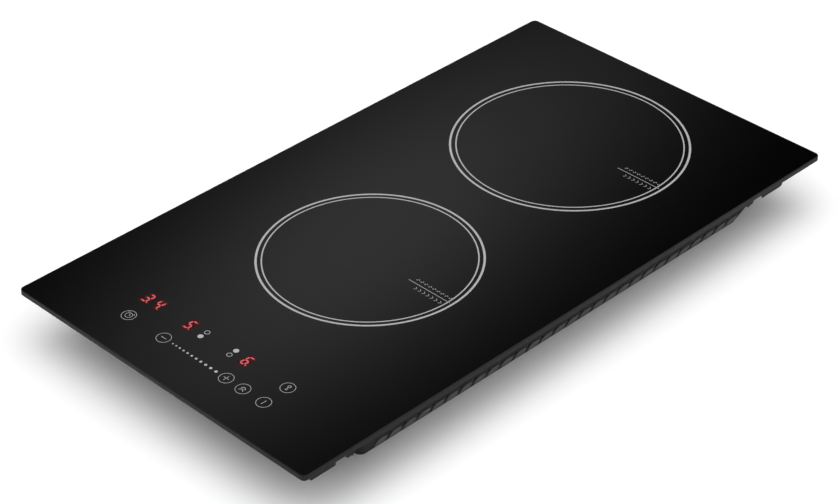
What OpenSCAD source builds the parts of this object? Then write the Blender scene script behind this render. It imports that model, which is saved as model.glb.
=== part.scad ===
// Two-zone domino induction hob: a glass-ceramic plate bonded to a steel frame, with a slotted tray
// below it that holds two sprung coils, the power electronics, a blower and the mains terminals.
// Origin: centre of the underside. +X to the right, +Y to the back, +Z up.

/* [Glass] */
// Width of the glass plate
glass_w = 288; // [286:1:292]
// Depth of the glass plate, front to back
glass_l = 520; // [516:1:524]
// Thickness of the glass plate
glass_t = 4; // [4:0.5:5]
// Corner radius of the glass plate
glass_r = 4; // [3:0.5:6]
// Height from the underside to the top of the glass
overall_h = 56; // [56:1:60]

/* [Frame] */
// Distance from the glass edge to the outer face of the frame
frame_inset = 11.4; // [11:0.2:12]
// Thickness of the frame's sheet steel
frame_t = 1.2; // [1:0.1:1.4]
// Height of the frame's skirt below its plate
skirt_h = 8; // [6:1:9]
// Height of the lugs and nubs below the frame's plate
lug_h = 14; // [12:1:15]

/* [Tray] */
// Distance from the long glass edge to the tray's bottom edge
tray_side = 39.7; // [39:0.1:41]
// Distance from the front glass edge to the tray's bottom edge
tray_front = 85.4; // [84:0.2:87]
// Distance from the rear glass edge to the tray's bottom edge
tray_rear = 43.2; // [43:0.2:45]
// Outward slope of the tray walls, in millimetres for each millimetre of height
tray_slope = 0.449; // [0.43:0.001:0.45]
// Wall and floor thickness of the tray
tray_t = 1.5; // [1.2:0.1:1.6]
// Number of vent slots in each long wall
slot_count = 28; // [20:1:28]
// Distance between vent slots
slot_pitch = 13.5; // [13:0.1:13.5]
// Width of a vent slot
slot_w = 2.8; // [2:0.2:3.2]

/* [Zones] */
// Sideways place of both zones
zone_x = 1; // [0:0.5:2]
// Front zone centre, from the middle of the glass
front_zone_y = -64.6; // [-66:0.2:-64]
// Outer radius of the front winding
front_coil_r = 74; // [70:1:75]
// Rear zone centre, from the middle of the glass
rear_zone_y = 142; // [140:0.5:143]
// Outer radius of the rear winding
rear_coil_r = 83; // [78:1:84]
// How far a coil can sink on its springs
coil_travel = 3; // [2:0.5:3]

/* [Controls] */
// Distance from the front glass edge to the row of keys
key_row = 33.5; // [33:0.5:35]
// Distance from the front glass edge to the row of digits
digit_row = 55.5; // [55:0.5:56]

/* [Hidden] */
$fn = 48;

// Heights, from the underside
glass_z = overall_h - glass_t;
seal_t = 1;
bond_t = 0.8;
frame_z = glass_z - bond_t - frame_t;
pcb_t = 1.6;

// Frame plan
frame_x = glass_w / 2 - frame_inset;
frame_y = glass_l / 2 - 12;
main_x = 119.5;
main_y0 = -191;
main_y1 = 235;
keys_x = 104;
keys_y0 = -242.5;
keys_y1 = -198;

// Tray plan at its bottom
tray_x = glass_w / 2 - tray_side;
tray_y0 = tray_front - glass_l / 2;
tray_y1 = glass_l / 2 - tray_rear;
tray_r = 5;
slot_y0 = -151;
slot_z0 = 17;
slot_z1 = 38;
peg_hole_z = 10;
peg_hole_r = 1.25;
tray_fixings = [for (sx = [-1, 1], i = [0, 12, 26]) [sx * 118.2, slot_y0 + slot_pitch * (i + 0.5)]];

// Coil deck, guide pins and springs
deck_z = 32;
deck_t = 1.5;
deck_x = 112.6;
deck_y0 = -179;
deck_y1 = 227;
pillar_xy = [for (sx = [-1, 1], y = [-160, 22, 205]) [sx * 96, y]];
pillar_r = 4.5;
pilot_r = 1.55;
pin_r = 2;
pin_clear = 0.05;
carrier_z = 42.5;
carrier_t = 3.5;
winding_z = carrier_z + carrier_t;
litz_d = 3.7;
litz_pitch = 3.5;
insulation_z = winding_z + litz_d;
insulation_t = 2;
ferrite_t = 4;
ear_gap = 8;
front_pins = [90, 210, 330];
rear_pins = [30, 150, 270];
spring_r = 3.3;
spring_wire = 0.45;
spring_turns = 5;

// Power board and blower
board_x = 88;
board_y0 = -168;
board_y1 = 98;
board_z = 6;
top_z = board_z + pcb_t;
board_screw_xy = [for (sx = [-1, 1], y = [-160, -30, 90]) [sx * 80, y]];
fan_x = 48;
fan_y = 158;
fan_r = 43;
rotor_r = 36;
shaft_r = 1.5;
fan_ears = [[90, 182], [48, 206.5], [3, 182]];

// Terminal compartment
box_x0 = -86;
box_x1 = -20;
box_y0 = 158;
box_y1 = 213;
box_h = 26.5;
box_t = 2;
hinge_y = 167;
hinge_z = 3.2;
gland_x = -53;
gland_z = 13;
gland_r = 5;
gland_out = 8;

// Worktop clamps: x, y, reach, and the way that the parked arm points
clamp_r = 2.5;
clamp_z = 11.6;
clamp_t = 2;
front_clamp_y = -194;
rear_clamp_y = 231;
clamp_x = 76;

function wall_x(z) = tray_x + tray_slope * z;
function wall_y0(z) = tray_y0 - tray_slope * z;
function wall_y1(z) = tray_y1 + tray_slope * z;
function ring_xy(y, r, angles) = [for (a = angles) [zone_x + r * cos(a), y + r * sin(a)]];
function front_pin_xy() = ring_xy(front_zone_y, front_coil_r + ear_gap, front_pins);
function rear_pin_xy() = ring_xy(rear_zone_y, rear_coil_r + ear_gap, rear_pins);

// ---- shared shapes ----

// Rectangle with round corners, between two opposite corners
module round_rect(x0, y0, x1, y1, r) {
  translate([x0 + r, y0]) square([x1 - x0 - 2 * r, y1 - y0]);
  translate([x0, y0 + r]) square([x1 - x0, y1 - y0 - 2 * r]);
  for (x = [x0 + r, x1 - r], y = [y0 + r, y1 - r]) translate([x, y]) circle(r);
}

module slab(x0, y0, x1, y1, z, h, r) {
  translate([0, 0, z]) linear_extrude(h) round_rect(x0, y0, x1, y1, r);
}

module block(x0, y0, z0, x1, y1, z1) {
  translate([x0, y0, z0]) cube([x1 - x0, y1 - y0, z1 - z0]);
}

module post(p, r, z0, z1) {
  translate([p[0], p[1], z0]) cylinder(r = r, h = z1 - z0);
}

// Screw standing on its axis: head from z0 to z1, shank up to z2, cross recess in the head
module screw_up(p, head_r, shank_r, z0, z1, z2) {
  difference() {
    post(p, head_r, z0, z1);
    for (a = [0, 90]) translate([p[0], p[1], z0]) rotate(a) cube([head_r * 1.1, 0.8, 2], center = true);
  }
  post(p, shank_r, z1, z2);
}

// The same screw driven down from above: shank from z0 to z1, head up to z2
module screw_down(p, head_r, shank_r, z0, z1, z2) {
  post(p, shank_r, z0, z1);
  difference() {
    post(p, head_r, z1, z2);
    for (a = [0, 90]) translate([p[0], p[1], z2]) rotate(a) cube([head_r * 1.1, 0.8, 2], center = true);
  }
}

// Round bar swept along a list of points, each ring square to the path's direction
module swept_bar(path, r, sides) {
  n = len(path);
  dirs = [for (i = [0:n - 1]) let (v = path[min(i + 1, n - 1)] - path[max(i - 1, 0)]) v / norm(v)];
  points = [
    for (i = [0:n - 1])
    let (d = dirs[i], s = abs(d[2]) < 0.9 ? [0, 0, 1] : [1, 0, 0])
    let (u = cross(d, s) / norm(cross(d, s)), w = cross(d, u))
    for (k = [0:sides - 1]) path[i] + r * (cos(360 * k / sides) * u + sin(360 * k / sides) * w)
  ];
  faces = [
    [for (k = [0:sides - 1]) k],
    [for (k = [sides - 1:-1:0]) (n - 1) * sides + k],
    for (i = [0:n - 2], k = [0:sides - 1], half = [0, 1])
    let (a = i * sides + k, b = i * sides + (k + 1) % sides)
    half == 0 ? [a, a + sides, b + sides] : [a, b + sides, b]
  ];
  polyhedron(points, faces);
}

// Coil spring between two heights, tapering from radius r0 to r1
module coil_spring(p, r0, r1, wire, z0, z1, turns, steps, sides) {
  n = turns * steps;
  path = [
    for (i = [0:n])
    let (t = i / n, r = r0 + (r1 - r0) * t, a = 360 * turns * t)
    [p[0] + r * cos(a), p[1] + r * sin(a), z0 + wire + (z1 - z0 - 2 * wire) * t]
  ];
  swept_bar(path, wire, sides);
}

// ---- glass top ----

// Edge profile of the plate, ground flat with a small arris top and bottom
module glass_edge() {
  arris = 0.5;
  polygon([[0, 0], [glass_r - arris, 0], [glass_r, arris], [glass_r, glass_t - arris],
           [glass_r - arris, glass_t], [0, glass_t]]);
}

module glass_plate() {
  core_x = glass_w / 2 - glass_r;
  core_y = glass_l / 2 - glass_r;
  color("#101112") translate([0, 0, glass_z]) {
    block(-core_x, -core_y, 0, core_x, core_y, glass_t);
    for (s = [-1, 1]) {
      translate([0, s * core_y, 0]) rotate([90, 0, s * 90]) translate([0, 0, -core_x])
        linear_extrude(2 * core_x) glass_edge();
      translate([s * core_x, 0, 0]) rotate([90, 0, s * 90 - 90]) translate([0, 0, -core_y])
        linear_extrude(2 * core_y) glass_edge();
    }
    for (sx = [-1, 1], sy = [-1, 1])
      translate([sx * core_x, sy * core_y, 0])
        rotate(sx > 0 ? (sy > 0 ? 0 : -90) : (sy > 0 ? 90 : 180))
          rotate_extrude(angle = 90) glass_edge();
  }
}

module glass_seal() {
  out = 1;
  width = 8;
  x = glass_w / 2 - out;
  y = glass_l / 2 - out;
  color("#26272a") difference() {
    slab(-x, -y, x, y, glass_z - seal_t, seal_t, 3);
    slab(width - x, width - y, x - width, y - width, glass_z - 2 * seal_t, 3 * seal_t, 1);
  }
}

module glass_bond() {
  color("#3a3b3d") difference() {
    slab(-130.5, -246.5, 130.5, 246.5, glass_z - bond_t, bond_t, 5);
    slab(-127, -243, 127, 243, glass_z - 2 * bond_t, 3 * bond_t, 3);
  }
}

// Lug hanging from the frame's side: one corner round, the foot bevelled on its outer face
module frame_lug(y0, y1, round_end) {
  r = 4;
  z0 = frame_z - lug_h;
  x0 = frame_x - frame_t;
  difference() {
    translate([x0, 0, 0]) rotate([90, 0, 90]) linear_extrude(frame_t) union() {
      translate([y0, z0 + r]) square([y1 - y0, lug_h - r]);
      translate([round_end > 0 ? y0 : y0 + r, z0]) square([y1 - y0 - r, r + 0.1]);
      translate([round_end > 0 ? y1 - r : y0 + r, z0 + r]) circle(r);
    }
    translate([x0 + 0.3, y0 - 1, z0]) rotate([0, 30, 0]) translate([0, 0, -1]) cube([3, y1 - y0 + 2, 4]);
  }
}

module mounting_frame() {
  r = 6;
  front_edge = -glass_l / 2;
  rear_edge = glass_l / 2;
  color("#2c2d30") difference() {
    union() {
      slab(-frame_x, -frame_y, frame_x, frame_y, frame_z, frame_t, r);
      difference() {
        slab(-frame_x, -frame_y, frame_x, frame_y, frame_z - skirt_h, skirt_h, r);
        slab(frame_t - frame_x, frame_t - frame_y, frame_x - frame_t, frame_y - frame_t,
             frame_z - skirt_h - 1, skirt_h + 1, r - frame_t);
      }
      for (s = [0, 1]) mirror([s, 0, 0]) {
        frame_lug(front_edge + 15, front_edge + 37.7, -1);
        frame_lug(rear_edge - 51.1, rear_edge - 28.5, 1);
        frame_lug(front_edge + 46.7, front_edge + 51.3, -1);
        frame_lug(rear_edge - 66.6, rear_edge - 62, 1);
      }
    }
    slab(-main_x, main_y0, main_x, main_y1, frame_z - 1, frame_t + 2, 10);
    slab(-keys_x, keys_y0, keys_x, keys_y1, frame_z - 1, frame_t + 2, 4);
    for (p = frame_screw_xy) post(p, pilot_r, frame_z - 1, frame_z + frame_t + 1);
  }
}

// ---- controls ----

housing_x = 106;
housing_y0 = -246.3;
housing_y1 = -199;
housing_z = 39.5;
housing_t = 1.2;
housing_ears = [for (sx = [-1, 1], y = [-236, -210]) [sx * 111, y]];
frame_screw_xy = concat(tray_fixings, housing_ears);
touch_z = 43.4;
key_y = key_row - glass_l / 2;
digit_y = digit_row - glass_l / 2;
key_xs = [-66, -29.5, 33.5, 50, 70];
slider_xs = [-18, -9, 0, 10, 20];
lock_key = [70, -205.3];
digit_h = 9.4;
module_w = 11;
module_l = 12;

module control_housing() {
  y0 = housing_y0 + housing_t;
  y1 = housing_y1 - housing_t;
  color("#1b1c1e") difference() {
    union() {
      slab(-housing_x, housing_y0, housing_x, housing_y1, housing_z, frame_z - housing_z, 3);
      for (p = housing_ears) {
        post(p, pillar_r, housing_z, frame_z);
        block(min(p[0], sign(p[0]) * 104), p[1] - 2, housing_z, max(p[0], sign(p[0]) * 104), p[1] + 2, frame_z);
      }
    }
    slab(housing_t - housing_x, y0, housing_x - housing_t, y1, housing_z + housing_t, 20, 2);
    block(-housing_x - 1, y1 - 1, touch_z, housing_x + 1, housing_y1 + 1, frame_z + 1);
    block(-38, y1 - 1, 41, -12, housing_y1 + 1, touch_z + 1);
    for (p = housing_ears) {
      post(p, pilot_r + 0.2, housing_z - 1, frame_z + 1);
    }
  }
  ledge = touch_z - housing_z - housing_t;
  color("#1b1c1e") for (x = [-90, -45, 60, 90], y = [-238, -206])
    translate([x, y, housing_z + housing_t]) cylinder(r = 2.5, h = ledge);
}

module touch_board() {
  color("#1c4d2c") difference() {
    slab(-98, -244.5, 98, -200.6, touch_z, pcb_t, 2);
    for (x = [-94, 94], y = [-240, -206]) post([x, y], 1.6, touch_z - 1, touch_z + pcb_t + 1);
  }
  color("#e8e6dc") block(-36, -207, touch_z - 2.2, -14, -202.5, touch_z);
}

module touch_springs() {
  xy = concat([for (x = key_xs) [x, key_y]], [for (x = slider_xs) [x, key_y]], [[lock_key[0], lock_key[1]]]);
  color("#c9a24a") for (p = xy)
    coil_spring(p, 3.4, 4.4, 0.3, touch_z + pcb_t, glass_z, 3, 8, 4);
}

// Seven-segment module: a box with a face that carries the digits
module display_module(xs) {
  x0 = min(xs) - module_w / 2;
  x1 = max(xs) + module_w / 2;
  z0 = touch_z + pcb_t;
  z1 = glass_z - 0.3;
  slant = tan(9);
  color("#2a2b2d") difference() {
    block(x0, digit_y - module_l / 2, z0, x1, digit_y + module_l / 2, z1);
    for (x = xs, k = [-1, 0, 1])
      translate([x + slant * k * digit_h / 2, digit_y + k * digit_h / 2, z1]) cube([3.6, 0.9, 0.6], center = true);
    for (x = xs, sx = [-1, 1], k = [-1, 1])
      translate([x + sx * 2.4 + slant * k * digit_h / 4, digit_y + k * digit_h / 4, z1])
        rotate(-9) cube([0.9, 3.6, 0.6], center = true);
  }
}

module timer_display() display_module([-71.6, -60.6]);
module front_zone_display() display_module([-27.9]);
module rear_zone_display() display_module([29.4]);

module indicator_lamps() {
  color("#d8dce0") {
    for (p = [[-13.2, -208.3], [-13.2, -202.6], [16, -208.3], [16, -202.6]])
      post(p, 1.3, touch_z + pcb_t, glass_z - 0.3);
    for (i = [0:10]) translate([slider_dot_x(i) - 0.8, key_y + 7, touch_z + pcb_t]) cube([1.6, 0.8, 0.8]);
  }
}

// The slider's dots grow further apart from left to right
function slider_dot_x(i) = -20 + 3.3 * i + 0.105 * i * i;

module buzzer() {
  color("#18191a") difference() {
    post([-88, -218], 6, touch_z + pcb_t, glass_z - 1);
    post([-88, -218], 1, glass_z - 3, glass_z);
  }
}

// Flat cable: a strip bent through the notch in the tray's front wall and down to the power board
module ribbon_cable() {
  t = 0.6;
  y = [-202.5, -198.5, -193, -187.5, -184.3, -178, -172, -167, -161.9];
  z = [42.4, 42.4, 43.2, 41, 33, 20, 13, 11, 11];
  pts = [for (i = [0:len(y) - 1]) [y[i], z[i]]];
  n = len(pts);
  dirs = [for (i = [0:n - 1]) let (v = pts[min(i + 1, n - 1)] - pts[max(i - 1, 0)]) v / norm(v)];
  sides = concat(
    [for (i = [0:n - 1]) pts[i] + t / 2 * [-dirs[i][1], dirs[i][0]]],
    [for (i = [n - 1:-1:0]) pts[i] - t / 2 * [-dirs[i][1], dirs[i][0]]]
  );
  color("#b8b9bb") translate([-34, 0, 0]) rotate([90, 0, 90]) linear_extrude(16) polygon(sides);
  color("#e8e6dc") block(-36, -161.9, top_z, -16, -156, top_z + 7);
}

// ---- coils ----

module coil_deck() {
  color("#c3c6ca") difference() {
    slab(-deck_x, deck_y0, deck_x, deck_y1, deck_z, deck_t, 14);
    for (p = pillar_xy) post(p, pilot_r + 0.2, deck_z - 1, deck_z + deck_t + 1);
    for (p = front_lead_xy()) post(p, 4.5, deck_z - 1, deck_z + deck_t + 1);
    for (p = rear_lead_xy()) post(p, 4.5, deck_z - 1, deck_z + deck_t + 1);
    for (y = [front_zone_y, rear_zone_y]) post([zone_x, y], 12, deck_z - 1, deck_z + deck_t + 1);
    for (x = [-60:20:60], y = [26, 38]) slab(x - 7, y - 1.5, x + 7, y + 1.5, deck_z - 1, deck_t + 2, 1.4);
  }
}

module deck_screws() {
  color("#9fa3a8") for (p = pillar_xy) screw_down(p, 3, 1.5, 18, deck_z + deck_t, deck_z + deck_t + 2);
}

// Shouldered pins that guide the coil carriers and stop them at the top
module coil_guide_pins() {
  color("#9fa3a8") for (p = concat(front_pin_xy(), rear_pin_xy())) {
    post(p, pin_r, deck_z + deck_t, winding_z + 0.2);
    post(p, 3.4, winding_z + 0.2, winding_z + 1.6);
  }
}

// Spoked disc that carries a winding, with an ear round each guide pin
module coil_carrier(y, coil_r, pins) {
  rim_r = coil_r + 3;
  color("#2e3033") translate([zone_x, y, carrier_z]) linear_extrude(carrier_t) difference() {
    union() {
      circle(19);
      difference() {
        circle(rim_r);
        circle(rim_r - 8);
      }
      for (a = [0:45:315]) rotate(a) translate([10, -7]) square([rim_r - 12, 14]);
      for (a = pins) rotate(a) {
        translate([coil_r + ear_gap, 0]) circle(5.2);
        translate([rim_r - 4, -4.4]) square([ear_gap, 8.8]);
      }
    }
    circle(6.2);
    for (a = pins) rotate(a) translate([coil_r + ear_gap, 0]) circle(pin_r + pin_clear);
  }
}

// Flat litz winding: its turns as touching rings
module coil_winding(y, coil_r) {
  first_r = 22;
  color("#a8603a") translate([zone_x, y, winding_z]) rotate_extrude()
    for (r = [first_r:litz_pitch:coil_r]) translate([r, litz_d / 2]) circle(litz_d / 2, $fn = 24);
}

module coil_ferrites(y, coil_r) {
  color("#3b3d40") translate([zone_x, y, 0]) for (a = [0:45:315]) rotate(a)
    block(23, -5.5, carrier_z - ferrite_t, coil_r - 6, 5.5, carrier_z);
}

module coil_insulation(y, coil_r) {
  color("#e6e1d4") translate([zone_x, y, 0]) difference() {
    post([0, 0], coil_r + 2, insulation_z, insulation_z + insulation_t);
    post([0, 0], 9, insulation_z - 1, insulation_z + insulation_t + 1);
  }
}

module temp_sensor(y) {
  color("#d9d4c7") translate([zone_x, y, 0]) {
    post([0, 0], 6, carrier_z - 4, winding_z + 0.1);
    post([0, 0], 8.5, winding_z, winding_z + 1.6);
    post([0, 0], 4, winding_z + 1.5, glass_z - 0.3);
  }
}

module coil_springs(pins) {
  color("#8d9196") for (p = pins)
    coil_spring(p, spring_r, spring_r, spring_wire, deck_z + deck_t, carrier_z, spring_turns, 9, 5);
}

// Lead pairs drop between the spokes, through the deck, to screw posts on the board
function front_lead_xy() = [for (a = [247.5, 292.5]) [zone_x + 56 * cos(a), front_zone_y + 56 * sin(a)]];
function rear_lead_xy() = [for (a = [202.5, 247.5]) [zone_x + 64 * cos(a), rear_zone_y + 64 * sin(a)]];
lead_r = 1.8;
lead_post_h = 8;
front_lead_ends = [[-28, -140], [28, -140]];
rear_lead_ends = [[-42, 90], [-26, 70]];

module coil_leads(starts, ends) {
  color("#b5462f") for (i = [0, 1]) {
    s = starts[i];
    e = ends[i];
    bend = [for (t = [0:0.2:1]) let (k = (1 - cos(180 * t)) / 2) [for (j = [0, 1]) s[j] + (e[j] - s[j]) * k]];
    middle = [for (j = [0:5]) [bend[j][0], bend[j][1], 30 - 2.2 * j]];
    swept_bar(concat([[s[0], s[1], winding_z], [s[0], s[1], 38]], middle,
                     [[e[0], e[1], top_z + lead_post_h]]), lead_r, 8);
  }
}

module front_coil_carrier() coil_carrier(front_zone_y, front_coil_r, front_pins);
module front_coil_winding() coil_winding(front_zone_y, front_coil_r);
module front_coil_ferrites() coil_ferrites(front_zone_y, front_coil_r);
module front_coil_insulation() coil_insulation(front_zone_y, front_coil_r);
module front_temp_sensor() temp_sensor(front_zone_y);
module front_coil_springs() coil_springs(front_pin_xy());
module front_coil_leads() coil_leads(front_lead_xy(), front_lead_ends);
module rear_coil_carrier() coil_carrier(rear_zone_y, rear_coil_r, rear_pins);
module rear_coil_winding() coil_winding(rear_zone_y, rear_coil_r);
module rear_coil_ferrites() coil_ferrites(rear_zone_y, rear_coil_r);
module rear_coil_insulation() coil_insulation(rear_zone_y, rear_coil_r);
module rear_temp_sensor() temp_sensor(rear_zone_y);
module rear_coil_springs() coil_springs(rear_pin_xy());
module rear_coil_leads() coil_leads(rear_lead_xy(), rear_lead_ends);

// ---- power electronics ----

sink_x0 = 8;
sink_x1 = 62;
sink_y0 = -12;
sink_y1 = 98;
sink_base = 4;
sink_z1 = 30;
transistor_ys = [0, 20, 40, 60];
mains_tabs = [for (k = [-1, 0, 1]) [8 * k - 62, 90]];
mains_tab_h = 6;

module power_board() {
  color("#1f5a33") difference() {
    slab(-board_x, board_y0, board_x, board_y1, board_z, pcb_t, 3);
    for (p = board_screw_xy) post(p, pilot_r + 0.2, board_z - 1, board_z + pcb_t + 1);
  }
  color("#c7cace") {
    for (p = concat(front_lead_ends, rear_lead_ends)) box_part(p[0], p[1], 8, 8, lead_post_h);
    for (p = mains_tabs) box_part(p[0], p[1], 5, 5, mains_tab_h);
  }
}

module heatsink() {
  fin_t = 1.4;
  fin_pitch = 3.4;
  color("#b9bcc0") translate([0, sink_y1, 0]) rotate([90, 0, 0]) linear_extrude(sink_y1 - sink_y0) union() {
    translate([sink_x0, top_z]) square([sink_base, sink_z1 - top_z]);
    for (z = [top_z + 1:fin_pitch:sink_z1 - fin_t])
      translate([sink_x0 + sink_base - 0.1, z]) square([sink_x1 - sink_x0 - sink_base, fin_t]);
  }
}

module flat_package(y, width, height) {
  x1 = sink_x0;
  color("#17181a") block(x1 - 5, y - width / 2, top_z + 3, x1, y + width / 2, top_z + 3 + height);
  color("#c7cace") for (k = [-1, 0, 1]) block(x1 - 3, y + k * 5.4 - 0.6, top_z, x1 - 2.2, y + k * 5.4 + 0.6, top_z + 3);
}

module power_transistors() for (y = transistor_ys) flat_package(y, 15.6, 17);
module bridge_rectifier() flat_package(82, 18, 15);

module box_part(x, y, w, l, h) block(x - w / 2, y - l / 2, top_z, x + w / 2, y + l / 2, top_z + h);

module resonant_capacitors() {
  color("#3f5f8f") for (p = [[-14, -8], [-14, 14], [-14, 36], [-14, 58]]) box_part(p[0], p[1], 26, 13, 19);
}

module filter_capacitors() {
  color("#d6b23c") {
    box_part(-62, -42, 31, 15, 20);
    box_part(-62, -86, 31, 15, 20);
    box_part(62, -60, 18, 31, 18);
  }
}

// Toroidal choke lying on its base
module filter_choke() {
  p = [-60, 8];
  color("#a8603a") translate([p[0], p[1], top_z + 9]) rotate_extrude() translate([14, 0]) circle(6.5);
  color("#1b1c1e") post(p, 20, top_z, top_z + 2.6);
}

module electrolytic_capacitors() {
  color("#26303c") {
    post([74, -100], 8, top_z, top_z + 21);
    post([56, -104], 6.3, top_z, top_z + 16);
    post([40, -100], 5, top_z, top_z + 12);
  }
}

module standby_transformer() {
  color("#c9a24a") box_part(-66, -122, 20, 18, 14);
  color("#3b3d40") {
    box_part(-66, -122 - 10, 20, 2, 16);
    box_part(-66, -122 + 10, 20, 2, 16);
  }
}

module mains_relay() color("#20242a") box_part(-62, 52, 29, 13, 16);

module mains_fuse() {
  y = 74;
  color("#e6e1d4") translate([-72, y, top_z + 4.5]) rotate([0, 90, 0]) cylinder(r = 2.5, h = 20);
  color("#c7cace") for (x = [-75, -55]) block(x, y - 3.5, top_z, x + 5, y + 3.5, top_z + 8);
}

// Screws that hold the power board and the blower to the tray
module base_screws() {
  color("#9fa3a8") {
    for (p = board_screw_xy) screw_down(p, 3, 1.5, 2, top_z, top_z + 2);
    for (p = fan_ears) screw_down(p, 3, 1.5, 3.4, board_z + 3, board_z + 5);
  }
}

// ---- blower ----

// Blower outline in plan, grown or shrunk by d: a round drum and a straight outlet towards the front
module blower_plan(d) {
  translate([fan_x, fan_y]) circle(fan_r + d, $fn = 96);
  translate([fan_x - fan_r - d, 104]) square([fan_r + 2 * d, fan_y - 104]);
}

module fan_housing() {
  wall = 1.4;
  z0 = tray_t;
  z1 = 28;
  color("#1b1c1e") difference() {
    union() {
      translate([0, 0, z0]) linear_extrude(z1 - z0) blower_plan(0);
      for (p = fan_ears) {
        post(p, 4, board_z, board_z + 3);
        v = [fan_x - p[0], fan_y - p[1]];
        translate([p[0], p[1], 0]) rotate(atan2(v[1], v[0])) block(0, -3.4, board_z, 9, 3.4, board_z + 3);
      }
    }
    translate([0, 0, z0 + wall]) linear_extrude(z1 - z0 - 2 * wall) blower_plan(-wall);
    block(fan_x - fan_r + wall, 100, z0 + wall, fan_x - wall, 110, z1 - wall);
    post([fan_x, fan_y], 27, z0 - 1, z0 + wall + 1);
    for (p = fan_ears) post(p, pilot_r + 0.2, board_z - 1, board_z + 4);
  }
}

module fan_motor() {
  color("#b0793c") difference() {
    post([fan_x, fan_y], 12.5, 13, 26.6);
    post([fan_x, fan_y], shaft_r + pin_clear, 12, 27);
  }
}

module fan_shaft() color("#c7cace") post([fan_x, fan_y], shaft_r, 7, 25.6);

module fan_impeller() {
  blades = 30;
  color("#2e3033") translate([fan_x, fan_y, 0]) {
    difference() {
      post([0, 0], 16, 9, 24.5);
      post([0, 0], 14.5, 11, 26);
      post([0, 0], shaft_r, 8, 12);
    }
    difference() {
      post([0, 0], rotor_r, 23, 24.5);
      post([0, 0], 15, 22, 26);
    }
    difference() {
      post([0, 0], rotor_r, 6, 7.5);
      post([0, 0], 31, 5, 8.5);
    }
    for (i = [0:blades - 1]) rotate(360 / blades * i)
      translate([31, 0, 15]) rotate(-32) cube([8.4, 1, 17], center = true);
  }
}

// ---- tray ----

// Solid with the tray's sloping sides between two heights, drawn in by d
module tray_solid(z0, z1, d) {
  thin = 0.01;
  hull() for (z = [z0, z1 - thin])
    slab(d - wall_x(z), wall_y0(z) + d, wall_x(z) - d, wall_y1(z) - d, z, thin, tray_r - d, $fn = 32);
}

// A raised panel on the sloping right-hand wall, between two vent slots
module wall_panel(y) {
  w = slot_pitch - slot_w - 0.6;
  translate([wall_x(0), y, 0]) rotate([0, 90 - atan(1 / tray_slope), 0])
    translate([-0.2, -w / 2, 1.2]) rotate([90, 0, 90]) linear_extrude(0.6) union() {
      square([w, 5.5]);
      translate([4, 0]) square([w - 8, 9.5]);
      for (x = [4, w - 4]) translate([x, 5.5]) circle(4, $fn = 24);
    }
}

// Vent slots: in each long wall a row with a small hole under every slot, then the front and rear walls
module vent_slots() {
  inside = wall_x(0) - 2;
  outside = wall_x(frame_z) + 2;
  for (i = [0:slot_count - 1], s = [0, 1]) mirror([s, 0, 0]) {
    y = slot_y0 + slot_pitch * i;
    block(inside, y - slot_w / 2, slot_z0, outside, y + slot_w / 2, slot_z1);
    translate([inside, y, peg_hole_z]) rotate([0, 90, 0]) cylinder(r = peg_hole_r, h = outside - inside, $fn = 8);
  }
  for (x = [-84:12:84]) if (abs(x + 24) > 13 && abs(abs(x) - clamp_x) > 11)
    block(x - slot_w / 2, -215, slot_z0, x + slot_w / 2, -165, slot_z1);
  for (x = [-6:12:54]) block(x - slot_w / 2, 210, slot_z0, x + slot_w / 2, 250, slot_z1 - 4);
}

// Intake grille under the blower: slots whose ends follow a circle
module intake_grille() {
  r = 25;
  for (k = [-3:3]) {
    half = sqrt(r * r - 49 * k * k);
    slab(fan_x + 7 * k - 1.9, fan_y - half, fan_x + 7 * k + 1.9, fan_y + half, -1, tray_t + 2, 1.8);
  }
}

module clamp_ledge(x, y, wall) {
  z0 = clamp_z + clamp_t + 0.3;
  z1 = z0 + 5;
  r = 8;
  post([x, y], r, z0, z1);
  block(x - r, min(y, wall), z0, x + r, max(y, wall), z1);
}

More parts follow.
